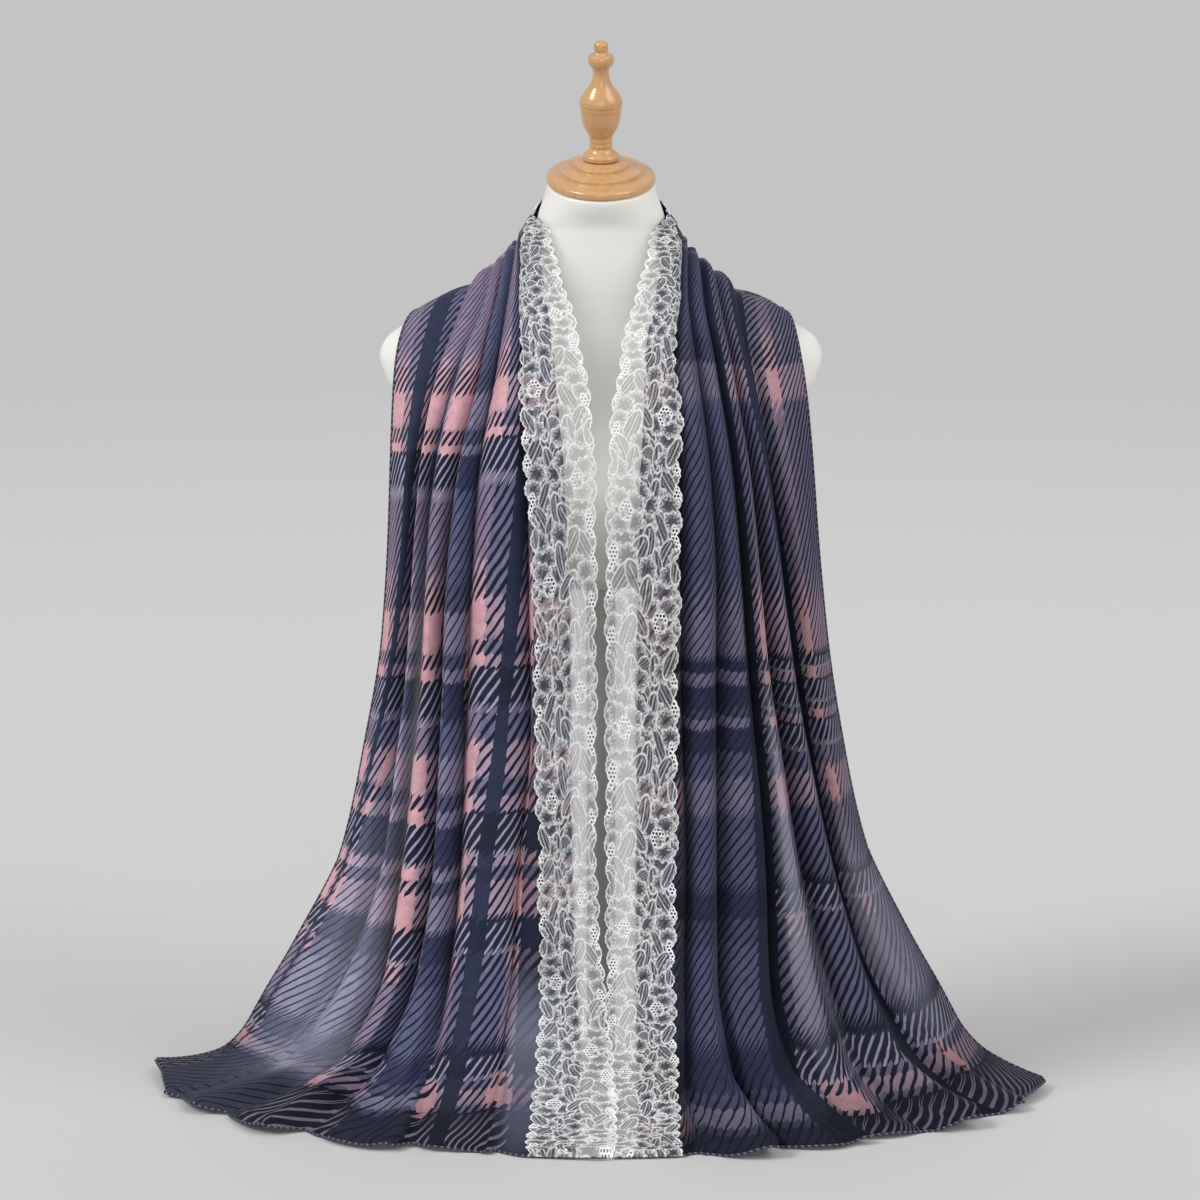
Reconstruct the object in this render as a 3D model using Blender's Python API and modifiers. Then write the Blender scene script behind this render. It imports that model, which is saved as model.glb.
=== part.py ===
"""A lace-edged plaid scarf draped over a limbless dress form with a turned wooden finial.

Metres, +Z up, front towards -Y. The origin is the middle of the base's underside.
The scarf is one long rectangle: its lace edge runs down the front, round the nape and
down the other front, and its other long edge hangs at the outside. The cloth is a thin
wall through rows of points. A row crosses all the folds at one share of the drop from
the shoulder to the floor, and the tables below say where each fold lies in it.
"Right" and "left" are the wearer's.
"""
import math

import bpy
import numpy as np

# Driving sizes, metres.
WALL = 0.0012
SEAM = 0.0004
LACE_SEAM = 0.0010
NECK_SEAM = 1.7
NECK_LIFT = 0.0009
NECK_PART = 0.06
CLEAR = 0.0012
FORM_GAP = 0.0014
FLOOR = WALL / 2
FLAT_WITHIN = 0.0002
SOFT_LANDING = 0.05
SHOULDER_TURN = 0.02
SCALLOP_PITCH = 0.032
SCALLOP_DEPTH = 0.0032

PANEL_ROWS = 26
ROW_CROWDING = 0.10
CELL_STEPS = 6
LACE_STEPS = 3
LACE_ROWS_PER_SCALLOP = 3

# A fold's least half height, the share of a half turn at which the free edge ends, and
# the span of the drop over which the folds sink into the bell.
LEAST_FOLD = 0.0015
FREE_EDGE_PHASE = 0.30
SINK_SPAN = 0.42

NECK_TILT = math.radians(12.5)
NECK_TOP_Z = 0.7885
NECK_TOP_Y = -0.006
NECK_SHARES = (0.35, 0.70)
CAP_DEPTH_RATIO = 1.2

BASE_RADIUS = 0.100
BASE_HEIGHT = 0.010
BASE_RIM = 0.002
BASE_STEPS = 48
POLE_RADIUS = 0.0125
POLE_STEPS = 24

# The drape at each share of the drop: half width and front depth of the bell that the
# cloth hangs on, how far its middle lies behind the origin, the largest half height
# of a fold, and how far a fold's sides tuck under it.
DRAPE = (
    # drop, half_width, front, back_shift, fold_limit, tuck, squareness
    (0.00, 0.190, 0.000, 0.010, 0.0035, 0.30, 2.4),
    (0.06, 0.200, 0.064, 0.005, 0.0040, 0.50, 2.4),
    (0.14, 0.198, 0.106, 0.000, 0.0060, 0.70, 2.4),
    (0.26, 0.196, 0.130, 0.000, 0.0100, 0.80, 2.4),
    (0.40, 0.200, 0.130, 0.005, 0.0140, 0.80, 2.4),
    (0.55, 0.212, 0.124, 0.010, 0.0150, 0.80, 2.3),
    (0.70, 0.232, 0.124, 0.018, 0.0150, 0.75, 2.2),
    (0.83, 0.272, 0.134, 0.030, 0.0130, 0.65, 2.1),
    (0.93, 0.318, 0.160, 0.045, 0.0085, 0.45, 2.0),
    (0.965, 0.345, 0.180, 0.048, 0.0065, 0.30, 2.0),
    (1.00, 0.402, 0.205, 0.045, 0.0050, 0.20, 2.0),
)
DROP = np.array([row[0] for row in DRAPE])

# Where each fold's bottom line lies across the front, in millimetres from the middle,
# at each share of the drop above, and the cloth's width from it to the next line.
RIGHT_FOLDS = (
    # name, cloth width, distances from the middle
    ("seam", 0.060, (57, 57, 56, 54, 48, 48, 45, 45, 49, 53, 57)),
    ("inner", 0.085, (62, 62, 61, 60, 60, 59, 68, 75, 84, 91, 100)),
    ("stripe", 0.085, (66, 76, 85, 100, 108, 114, 118, 128, 146, 157, 170)),
    ("tube", 0.085, (72, 84, 98, 118, 129, 134, 139, 154, 190, 219, 252)),
    ("second", 0.085, (82, 98, 120, 138, 146, 156, 167, 182, 222, 264, 322)),
    ("facet", 0.105, (100, 122, 139, 150, 157, 168, 181, 214, 262, 300, 366)),
    ("outer", 0.0, (146, 164, 168, 172, 179, 196, 218, 260, 306, 334, 400)),
)
LEFT_FOLDS = (
    ("seam", 0.060, (57, 56, 51, 57, 57, 56, 55, 53, 56, 58, 60)),
    ("strip", 0.085, (63, 61, 58, 64, 66, 68, 72, 70, 70, 79, 92)),
    ("facet", 0.085, (70, 71, 79, 90, 96, 97, 97, 98, 112, 128, 150)),
    ("tube", 0.095, (78, 86, 96, 109, 118, 129, 138, 142, 158, 182, 215)),
    ("band", 0.085, (90, 100, 110, 124, 134, 150, 166, 186, 212, 236, 272)),
    ("stripe", 0.105, (110, 117, 128, 142, 156, 174, 196, 223, 262, 290, 334)),
    ("outer", 0.0, (150, 160, 166, 174, 185, 202, 225, 265, 310, 338, 392)),
)
RIGHT_LACE = (53, 32, 14, 3, 2, 2, 2, 3, 3, 3, 4)
LEFT_LACE = (53, 32, 15, 4, 2, 2, 2, 3, 3, 3, 4)
LACE_TUCK = 0.004
LACE_AWAY = {-1: 0.0060, 1: 0.0020}
LACE_AWAY_FROM = 0.1
LACE_RISE = 0.011

# How far each front's outer corner turns forward of the bell, and from which share of
# the drop, in which power of the reach.
TIP_TURN = {-1: 0.0, 1: -0.038}
TIP_FROM = 0.83
TIP_POWER = 6
WIDEST_REACH = 0.999

# The dress form's level sections, bottom to neck: height, half width, front, back.
FORM = (
    (0.4500, 0.1120, 0.0860, 0.0680),
    (0.4750, 0.1210, 0.0960, 0.0730),
    (0.5050, 0.1330, 0.1100, 0.0770),
    (0.5350, 0.1440, 0.1190, 0.0810),
    (0.5600, 0.1520, 0.1140, 0.0850),
    (0.5850, 0.1590, 0.1030, 0.0875),
    (0.6030, 0.1720, 0.0880, 0.0840),
    (0.6200, 0.1815, 0.0750, 0.0780),
    (0.6370, 0.1860, 0.0630, 0.0700),
    (0.6500, 0.1810, 0.0560, 0.0640),
    (0.6590, 0.1700, 0.0520, 0.0600),
    (0.6680, 0.1500, 0.0500, 0.0570),
    (0.6780, 0.1300, 0.0490, 0.0560),
    (0.6900, 0.1090, 0.0485, 0.0560),
    (0.7020, 0.0910, 0.0485, 0.0555),
    (0.7150, 0.0760, 0.0485, 0.0550),
    (0.7300, 0.0630, 0.0485, 0.0545),
    (0.7450, 0.0540, 0.0490, 0.0540),
)
SHOULDER_HEIGHT = 0.637
NECK_HALF_WIDTH = 0.0450
FORM_POWER = 2.15
FORM_STEPS = 32
FORM_BOTTOM_ROUND = 0.012
FORM_BOTTOM_RINGS = 3

# The scarf behind the neck: how far back the lace edge and the free edge lie, how far
# below the shoulders their middles hang, and its folds.
BACK = {
    "lace_depth": 0.0615,
    "lace_rise": 0.010,
    "edge_depth": 0.108,
    "edge_sag": 0.100,
    "sag_growth": 0.9,
    "depth_roundness": 0.75,
    "sag_roundness": 2.6,
    "folds": 4.5,
    "fold_height": 0.0040,
    "fold_roundness": 0.5,
}
BACK_STEPS = 14
NAPE_DEPTH = 0.0560
NAPE_HEIGHT = 0.757
NAPE_RISE = 0.020

# Turned outlines, top to bottom: radius and height in millimetres above the foot.
FINIAL = (
    (0.0, 100.8), (3.6, 100.0), (5.8, 97.4), (6.1, 94.6), (5.5, 91.4),
    (9.8, 88.4), (10.9, 84.6), (9.8, 80.6), (7.0, 76.4), (7.2, 69.4),
    (9.6, 63.2), (13.0, 58.6), (16.6, 53.4), (17.9, 48.6), (17.2, 43.6),
    (16.4, 37.0), (15.0, 30.6), (12.2, 24.2), (9.3, 18.8), (9.5, 14.6),
    (9.3, 10.4), (11.8, 6.8), (15.3, 3.4), (14.8, 0.0), (0.0, 0.0),
)
CAP = (
    (0.0, 12.4), (16.2, 12.4), (20.4, 11.2), (22.8, 9.8), (23.2, 7.4),
    (29.0, 6.6), (34.4, 5.2), (34.9, 2.6), (40.0, 1.4), (43.6, 0.2), (45.3, -2.0),
    (45.5, -4.6), (44.4, -6.6), (0.0, -6.6),
)
CAP_BOTTOM = 0.0066
CAP_TOP = 0.0124
TURN_STEPS = 22

COLLECTION = "scarf_on_dress_form"


def clear_scene():
    for item in list(bpy.data.objects):
        bpy.data.objects.remove(item, do_unlink=True)


def material(name, colour, roughness, metallic=0.0):
    made = bpy.data.materials.new(name)
    made.use_nodes = True
    shader = made.node_tree.nodes["Principled BSDF"]
    shader.inputs["Base Color"].default_value = (*colour, 1.0)
    shader.inputs["Roughness"].default_value = roughness
    shader.inputs["Metallic"].default_value = metallic
    return made


def add_object(name, vertices, faces, finish, smooth=True):
    mesh = bpy.data.meshes.new(name)
    mesh.from_pydata([tuple(v) for v in vertices], [], [tuple(f) for f in faces])
    mesh.validate()
    if smooth:
        mesh.shade_smooth()
    mesh.materials.append(finish)
    made = bpy.data.objects.new(name, mesh)
    bpy.data.collections[COLLECTION].objects.link(made)
    return made


def between(stations, values, where):
    """A smooth curve through values at stations: a cubic whose slope at each station
    is the limited mean of the slopes on its two sides, so that it never overshoots."""
    stations = np.asarray(stations, float)
    values = np.asarray(values, float)
    run = np.diff(stations)
    slope = np.diff(values) / run
    tangent = np.empty_like(values)
    tangent[0] = slope[0]
    tangent[-1] = slope[-1]
    product = slope[:-1] * slope[1:]
    mean = 2 * product / np.where(product > 0, slope[:-1] + slope[1:], 1.0)
    tangent[1:-1] = np.where(product > 0, mean, 0.0)
    cell = np.clip(np.searchsorted(stations, where, side="right") - 1, 0, len(run) - 1)
    share = (where - stations[cell]) / run[cell]
    square = share * share
    cube = square * share
    start = values[cell] * (2 * cube - 3 * square + 1)
    end = values[cell + 1] * (3 * square - 2 * cube)
    lean_in = tangent[cell] * run[cell] * (cube - 2 * square + share)
    lean_out = tangent[cell + 1] * run[cell] * (cube - square)
    return start + end + lean_in + lean_out


def down(values, drop):
    """A smooth curve through values at the drape table's stations, quick near the
    shoulder, where the cloth turns over it: it runs with the square root of the drop."""
    return between(np.sqrt(DROP), values, np.sqrt(drop))


def drape(column, drop):
    return down([row[column] for row in DRAPE], drop)


def shoulder_height(distance):
    """The height of the form's top line at a distance from its middle."""
    upper = [row for row in FORM if row[0] >= SHOULDER_HEIGHT]
    widths = [row[1] for row in reversed(upper)]
    heights = [row[0] for row in reversed(upper)]
    return np.interp(distance, widths, heights)


def ring(width, front, back, height):
    """One level section of the form: a squared oval with its own front and back
    depths."""
    angle = np.linspace(0, 2 * math.pi, FORM_STEPS, endpoint=False)
    east, north = np.cos(angle), np.sin(angle)
    x = width * np.sign(east) * np.abs(east) ** (2 / FORM_POWER)
    y = np.sign(north) * np.abs(north) ** (2 / FORM_POWER)
    y = np.where(y < 0, y * front, y * back)
    return np.stack([x, y, np.full(FORM_STEPS, height)], axis=-1)


def tilted(points):
    """Points given level about the top of the neck, leaned forward with it."""
    lean = np.array([
        [1, 0, 0],
        [0, math.cos(NECK_TILT), -math.sin(NECK_TILT)],
        [0, math.sin(NECK_TILT), math.cos(NECK_TILT)],
    ])
    return points @ lean.T + np.array([0.0, NECK_TOP_Y, NECK_TOP_Z])


def form_rings():
    rings = []
    lowest = FORM[0]
    for step in range(FORM_BOTTOM_RINGS):
        angle = step * math.pi / 2 / FORM_BOTTOM_RINGS
        inset = FORM_BOTTOM_ROUND * (1 - math.sin(angle))
        height = lowest[0] + FORM_BOTTOM_ROUND * (1 - math.cos(angle))
        rings.append(ring(*(size - inset for size in lowest[1:]), height))
    for height, width, front, back in FORM:
        if height > lowest[0] + FORM_BOTTOM_ROUND:
            rings.append(ring(width, front, back, height))
    neck_depth = NECK_HALF_WIDTH * CAP_DEPTH_RATIO
    top = tilted(ring(NECK_HALF_WIDTH, neck_depth, neck_depth, -CAP_BOTTOM - SEAM))
    last = rings[-1]
    for share in NECK_SHARES:
        bend = share * share * (3 - 2 * share)
        between_rings = last + (top - last) * bend
        between_rings[:, 2] = last[:, 2] + (top[:, 2] - last[:, 2]) * share
        rings.append(between_rings)
    rings.append(top)
    return rings


def clear_of_form(points, gap=WALL / 2 + FORM_GAP):
    """The points, pushed level outwards wherever they come nearer to the form than
    the gap. The form's section at a point's height is read from its rings."""
    rings = form_rings()
    levels = [level[:, 2].mean() for level in rings]
    height = points[..., 2]
    width = np.interp(height, levels, [level[:, 0].max() for level in rings])
    front = np.interp(height, levels, [-level[:, 1].min() for level in rings])
    back = np.interp(height, levels, [level[:, 1].max() for level in rings])
    depth = np.where(points[..., 1] < 0, front, back)
    across_share = np.abs(points[..., 0]) / width
    deep_share = np.abs(points[..., 1]) / depth
    inside = (across_share ** FORM_POWER + deep_share ** FORM_POWER) ** (1 / FORM_POWER)
    far = np.hypot(points[..., 0], points[..., 1])
    wanted = far / np.maximum(inside, 1e-6) + gap
    scale = np.maximum(1.0, wanted / np.maximum(far, 1e-6))
    beside = (height > levels[0]) & (height < levels[-1])
    pushed = points.copy()
    pushed[..., :2] *= np.where(beside, scale, 1.0)[..., None]
    return pushed


def bell(across, drop, side):
    """The smooth surface that the cloth hangs on: at each share of the drop an oval
    whose half width and front depth come from the drape table, and whose height falls
    in proportion from the shoulder's. across is the distance from the middle."""
    half = drape(1, drop)
    front = drape(2, drop)
    shift = drape(3, drop)
    edge = np.clip((drop - TIP_FROM) / (1 - TIP_FROM), 0, 1)
    square = drape(6, drop)
    reach = np.clip(across / half, 0, WIDEST_REACH)
    oval = (1 - reach ** square) ** (1 / square)
    depth = shift - (front + shift) * oval
    depth = depth + edge ** 2 * TIP_TURN[side] * reach ** TIP_POWER
    top = shoulder_height(across_at_top(across, drop, side)) + WALL / 2 + CLEAR
    left = 1 - drop * drop / (drop + SHOULDER_TURN)
    landing = left ** 3 / (left ** 2 + SOFT_LANDING ** 2)
    height = FLOOR + (top - FLOOR) * landing * (1 + SOFT_LANDING ** 2)
    height = np.where(drop >= 1.0, FLOOR, height)
    return np.stack([side * across, depth, height], axis=-1)


def across_at_top(across, drop, side):
    """The distance from the middle, on the shoulder, of the thread that lies at a
    distance further down."""
    folds = RIGHT_FOLDS if side < 0 else LEFT_FOLDS
    here = [down(np.array(row[2]) / 1000, drop) for row in folds]
    top = np.array([row[2][0] for row in folds]) / 1000
    result = np.full(np.shape(across), top[0])
    for index in range(len(folds) - 1):
        share = np.clip((across - here[index]) / (here[index + 1] - here[index]), 0, 1)
        result = result + share * (top[index + 1] - top[index])
    lace = np.clip(1 - across / here[0], 0, 1)
    return result - lace * LACE_TUCK


def unit(vectors):
    return vectors / np.maximum(np.linalg.norm(vectors, axis=-1, keepdims=True), 1e-12)


def normals(points):
    """Unit normals of a grid of points: the cross product of its two directions."""
    along = np.gradient(points, axis=0)
    over = np.gradient(points, axis=1)
    return unit(np.cross(over, along))


def row_drops():
    """The share of the drop at each row, closer together at both ends."""
    share = np.linspace(0, 1, PANEL_ROWS)[:, None]
    return share - ROW_CROWDING * np.sin(2 * math.pi * share)


def panel(side):
    """Rows of points down one front. A row follows the bell; between two fold lines
    it swells out as a cosine whose height keeps the cloth's width, with its sides
    tucked in by a sine along the row."""
    folds = RIGHT_FOLDS if side < 0 else LEFT_FOLDS
    drop = row_drops()
    lines = [down(np.array(row[2]) / 1000, drop) for row in folds]
    across, phase, wide, narrow = [], [], [], []
    for index in range(len(folds) - 1):
        steps = np.arange(CELL_STEPS + (index == len(folds) - 2)) / CELL_STEPS
        first = 0.0 if index == 0 else -math.pi
        last = math.pi * (FREE_EDGE_PHASE if index == len(folds) - 2 else 1)
        gap = lines[index + 1] - lines[index]
        across.append(lines[index] + gap * steps)
        phase.append(np.broadcast_to(first + (last - first) * steps, across[-1].shape))
        wide.append(np.full(across[-1].shape, folds[index][1]))
        turn = 2 * math.pi / (last - first)
        narrow.append(np.broadcast_to(gap * turn, across[-1].shape))
    across, phase = np.hstack(across), np.hstack(phase)
    wide, narrow = np.hstack(wide), np.hstack(narrow)
    base = bell(across, drop, side)
    out = normals(base) * -side
    out[..., 0] *= 1 - (across / across[:, -1:]) ** 3
    out = unit(out)
    over = unit(np.gradient(base, axis=1))
    tall = np.sqrt(np.maximum(wide ** 2 - narrow ** 2, 0)) / 4
    tall = np.clip(tall, LEAST_FOLD, drape(4, drop))
    tuck = drape(5, drop) * narrow / (2 * math.pi) * np.sin(phase)
    rise = tall * (1 + np.cos(phase))
    sink = np.clip(1 - np.abs(drop - 0.5) / SINK_SPAN, 0, 1) * tall
    points = base + over * tuck[..., None] + out * (rise - sink)[..., None]
    points[..., 2] = np.maximum(points[..., 2], FLOOR)
    points[1:] = clear_of_form(points[1:])
    return points


def edge_strip(points, side):
    """Rows of points across one lace band, from just over the panel's first thread to
    the lace's own inner line, which hangs on the same bell. The right band's inner
    part hangs in front of the left's."""
    inner = np.array(RIGHT_LACE if side < 0 else LEFT_LACE) / 1000
    drop = row_drops()
    line = down(inner, drop)
    gap = LACE_SEAM * (1 + NECK_SEAM * np.clip(1 - drop / NECK_PART, 0, 1))
    seam = points[:, 0] + unit(points[:, 0] - points[:, 1]) * gap
    start = side * seam[:, :1]
    steps = np.linspace(0, 1, LACE_STEPS + 1)[None, :]
    across = start + (line - start) * steps
    base = bell(across, drop, side)
    out = normals(base) * side
    first = ((seam - base[:, 0]) * out[:, 0]).sum(axis=-1)[:, None]
    away = LACE_AWAY[side] * np.minimum(1, drop / LACE_AWAY_FROM) + CLEAR
    lift = first + (away - first) * (3 * steps ** 2 - 2 * steps ** 3)
    strip = base + out * lift[..., None]
    strip[:, 0] = seam
    strip[..., 2] += (NECK_LIFT + LACE_RISE * steps) * np.clip(1 - drop / NECK_PART, 0, 1)
    strip[..., 2] = np.maximum(strip[..., 2], FLOOR)
    return clear_of_form(strip)


def refined(points, rows):
    """The same strip with more rows, by a smooth curve through the old ones."""
    old = np.linspace(0, 1, len(points))
    new = np.linspace(0, 1, rows)
    flat = points.reshape(len(points), -1)
    finer = [between(old, flat[:, column], new) for column in range(flat.shape[1])]
    return np.stack(finer, axis=-1).reshape(rows, *points.shape[1:])


def scalloped(strip):
    """The strip with its free edge in scallops: the edge moves along its row by half
    a sine of the distance travelled."""
    middle = strip[:, 1]
    length = np.linalg.norm(np.diff(middle, axis=0), axis=1).sum()
    scallops = round(length / SCALLOP_PITCH)
    strip = refined(strip, scallops * LACE_ROWS_PER_SCALLOP + 1)
    phase = np.linspace(0, scallops * math.pi, len(strip))
    wave = np.abs(np.sin(phase))[:, None]
    strip[:, -1] += unit(strip[:, -2] - strip[:, -1]) * SCALLOP_DEPTH * (1 - wave)
    return clear_of_form(strip)


def outward(vertices, faces):
    """The faces, turned over if the volume that they enclose comes out negative."""
    corner = vertices[faces]
    first = np.einsum("ij,ij->i", corner[:, 0], np.cross(corner[:, 1], corner[:, 2]))
    second = np.einsum("ij,ij->i", corner[:, 0], np.cross(corner[:, 2], corner[:, 3]))
    return faces if (first + second).sum() > 0 else faces[:, ::-1]


def wall(name, points, finish, level_rows=()):
    """A closed wall of even thickness round a grid of points, flat where it lies on
    the floor. In the level rows its end faces straight along Y, so that the next
    piece's end lies square to it."""
    rows, columns = points.shape[:2]
    out = normals(points)
    for row in level_rows:
        out[row, :, 1] = 0.0
        out[row] = unit(out[row])
    first_side = points + out * WALL / 2
    second_side = points - out * WALL / 2
    on_floor = (points[..., 2] <= FLOOR + FLAT_WITHIN)[..., None]
    upright = np.array([0.0, 0.0, WALL / 2])
    sign = np.where(out[..., 2:] >= 0, 1.0, -1.0)
    first_side = np.where(on_floor, points + upright * sign, first_side)
    second_side = np.where(on_floor, points - upright * sign, second_side)
    vertices = np.concatenate([first_side.reshape(-1, 3), second_side.reshape(-1, 3)])
    vertices[:, 2] = np.maximum(vertices[:, 2], 0.0)
    index = np.arange(rows * columns).reshape(rows, columns)
    a, b = index[:-1, :-1].ravel(), index[:-1, 1:].ravel()
    c, d = index[1:, 1:].ravel(), index[1:, :-1].ravel()
    shift = rows * columns
    ring = np.concatenate([index[0, :-1], index[:-1, -1], index[-1, :0:-1], index[:0:-1, 0]])
    after = np.roll(ring, -1)
    faces = np.concatenate([
        np.stack([a, d, c, b], axis=1),
        np.stack([a, b, c, d], axis=1) + shift,
        np.stack([ring, after, after + shift, ring + shift], axis=1),
    ])
    return add_object(name, vertices, outward(vertices, faces), finish)


def behind_neck(right, left):
    """The scarf behind the neck: columns of points from the right shoulder round the
    back to the left. Each thread is half an oval between the two panels' first
    points, deeper and lower towards the free edge, with the folds carried round."""
    columns = right.shape[1]
    share = np.linspace(0, 1, columns)[None, :]
    turn = np.linspace(-math.pi / 2, math.pi / 2, BACK_STEPS + 1)[:, None]
    start, end = right[0][None], left[0][None]
    middle, half = (start + end) / 2, (end - start) / 2
    points = middle + half * np.sin(turn)[..., None]
    round_back = np.cos(turn) ** BACK["depth_roundness"]
    depth = BACK["lace_depth"] + (BACK["edge_depth"] - BACK["lace_depth"]) * share
    fall = BACK["edge_sag"] + BACK["lace_rise"]
    sag = fall * share ** BACK["sag_growth"] - BACK["lace_rise"]
    points[..., 1] += SEAM + (depth - SEAM) * round_back
    points[..., 2] -= sag * round_back ** BACK["sag_roundness"]
    folds = np.cos(2 * math.pi * BACK["folds"] * share)
    folds = folds * round_back ** BACK["fold_roundness"]
    out = normals(points)
    out = out * np.sign(out[BACK_STEPS // 2, columns // 2, 1])
    return points + out * (BACK["fold_height"] * (1 + folds) * round_back)[..., None]


def nape_strip(back):
    """The lace behind the neck: from the scarf's first thread up to a line that leans
    on the neck."""
    seam = back[:, 0]
    turn = np.linspace(-math.pi / 2, math.pi / 2, BACK_STEPS + 1)
    inner = np.stack([
        RIGHT_LACE[0] / 1000 * np.sin(turn),
        seam[0, 1] + NAPE_DEPTH * np.cos(turn),
        NAPE_HEIGHT + NAPE_RISE * np.cos(turn),
    ], axis=-1)
    seam = seam + unit(inner - seam) * LACE_SEAM * (1 + NECK_SEAM)
    steps = np.linspace(0, 1, LACE_STEPS + 1)[None, :, None]
    return seam[:, None] + (inner - seam)[:, None] * steps


def loft(name, rings, finish):
    """A closed skin over rings of equal count, with a flat face at each end."""
    count = len(rings[0])
    vertices = np.concatenate(rings)
    faces = []
    for level in range(len(rings) - 1):
        for step in range(count):
            here = level * count + step
            after = level * count + (step + 1) % count
            faces.append((here, after, after + count, here + count))
    faces.append(tuple(reversed(range(count))))
    faces.append(tuple(range(len(vertices) - count, len(vertices))))
    return add_object(name, vertices, faces, finish)


def turned(name, outline, finish, depth_ratio=1.0, lift=0.0):
    """A profile turned about the leaning axis of the neck."""
    mesh = bpy.data.meshes.new(name)
    profile = [(radius / 1000, 0.0, height / 1000) for radius, height in outline]
    edges = [(step, step + 1) for step in range(len(profile) - 1)]
    mesh.from_pydata(profile, edges, [])
    mesh.materials.append(finish)
    made = bpy.data.objects.new(name, mesh)
    bpy.data.collections[COLLECTION].objects.link(made)
    screw = made.modifiers.new("turn", "SCREW")
    screw.steps = TURN_STEPS
    screw.render_steps = TURN_STEPS
    screw.use_merge_vertices = True
    screw.merge_threshold = 0.0001
    made.location = tilted(np.array([0.0, 0.0, lift]))
    made.rotation_euler = (NECK_TILT, 0.0, 0.0)
    made.scale = (1.0, depth_ratio, 1.0)
    return made


def disc(name, radius, bottom, top, steps, finish, rim=0.0):
    bpy.ops.mesh.primitive_cylinder_add(
        vertices=steps, radius=radius, depth=top - bottom, location=(0, 0, (top + bottom) / 2))
    made = bpy.context.object
    made.name = name
    made.data.name = name
    for holder in list(made.users_collection):
        holder.objects.unlink(made)
    bpy.data.collections[COLLECTION].objects.link(made)
    made.data.materials.append(finish)
    if rim:
        bevel = made.modifiers.new("rim", "BEVEL")
        bevel.width = rim
        bevel.segments = 2
        bevel.limit_method = "ANGLE"
    return made


def build_form():
    ivory = material("ivory_satin", (0.86, 0.84, 0.79), 0.35)
    wood = material("moulded_wood", (0.58, 0.30, 0.12), 0.28)
    loft("form_torso", form_rings(), ivory)
    turned("neck_cap", CAP, wood, depth_ratio=CAP_DEPTH_RATIO)
    turned("finial", FINIAL, wood, lift=CAP_TOP + SEAM)
    disc("base", BASE_RADIUS, 0.0, BASE_HEIGHT, BASE_STEPS, ivory, rim=BASE_RIM)
    disc("pole", POLE_RADIUS, BASE_HEIGHT + SEAM, FORM[0][0] - SEAM, POLE_STEPS, ivory)


def build_scarf():
    plaid = material("plaid_chiffon", (0.10, 0.11, 0.20), 0.75)
    lace = material("white_lace", (0.86, 0.87, 0.88), 0.8)
    fronts = {-1: panel(-1), 1: panel(1)}
    back = behind_neck(fronts[-1], fronts[1])
    wall("scarf_front_right", fronts[-1], plaid, level_rows=(0,))
    wall("scarf_front_left", fronts[1], plaid, level_rows=(0,))
    wall("scarf_back", back, plaid, level_rows=(0, BACK_STEPS))
    for side, name in ((-1, "lace_front_right"), (1, "lace_front_left")):
        strip = edge_strip(fronts[side], side)
        wall(name, scalloped(strip), lace, level_rows=(0,))
    wall("lace_nape", scalloped(nape_strip(back)), lace, level_rows=(0, -1))


def main():
    clear_scene()
    holder = bpy.data.collections.new(COLLECTION)
    bpy.context.scene.collection.children.link(holder)
    build_form()
    build_scarf()


main()
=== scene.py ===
"""A lace-edged plaid chiffon scarf draped on a limbless dress form with a turned finial.

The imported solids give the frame. Every visible piece is made again here at full detail:
thin cloth with its folds and creases, floral lace, rolled hems, the smooth form, its
moulded wood-look cap and finial, and the stand behind the cloth.
"""

import math

import bpy
import numpy as np
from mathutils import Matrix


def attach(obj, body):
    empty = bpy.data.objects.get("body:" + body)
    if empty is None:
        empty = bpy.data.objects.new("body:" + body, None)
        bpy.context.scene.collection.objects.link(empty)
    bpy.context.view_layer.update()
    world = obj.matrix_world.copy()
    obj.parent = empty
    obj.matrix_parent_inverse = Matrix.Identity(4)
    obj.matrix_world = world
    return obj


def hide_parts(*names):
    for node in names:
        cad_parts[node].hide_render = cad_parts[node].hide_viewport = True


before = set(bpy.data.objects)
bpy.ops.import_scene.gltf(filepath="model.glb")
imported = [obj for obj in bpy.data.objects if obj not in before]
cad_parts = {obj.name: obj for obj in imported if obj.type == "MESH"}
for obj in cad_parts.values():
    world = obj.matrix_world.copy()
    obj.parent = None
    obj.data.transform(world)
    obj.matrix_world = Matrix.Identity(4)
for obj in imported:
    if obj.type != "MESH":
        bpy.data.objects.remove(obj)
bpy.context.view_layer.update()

# ---------------------------------------------------------------- camera and light

CAMERA_PLACE = (0.0, -3.0, 1.05)
CAMERA_PITCH = 11.757
LENS_MM = 107.76
SENSOR_MM = 36.0
FRAME_PX = 1200
CENTRE_PX = 601
# Sun lights: strength, spread, turn from the front towards +X and height, in degrees.
LIGHTS = {
    "left_light": (1.60, 22, -64, 42),
    "right_light": (0.95, 35, 62, 38),
    "top_light": (0.12, 60, 0, 60),
    "front_light": (0.42, 30, 4, 14),
}
# The backdrop's linear tone, half the floor's width, and where its paper fades into it.
BACKDROP = (0.55, 0.55, 0.55, 1.0)
FLOOR_HALF = 9.0
FLOOR_FADE = (1.2, 5.0)

# ---------------------------------------------------------------- sizes, metres

# Two-sided tables are kept by side: -1 is the wearer's right, at -X, and 1 the left.
WEARER = {-1: "right", 1: "left"}
FORWARD = (0.0, -1.0, 0.0)

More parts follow.
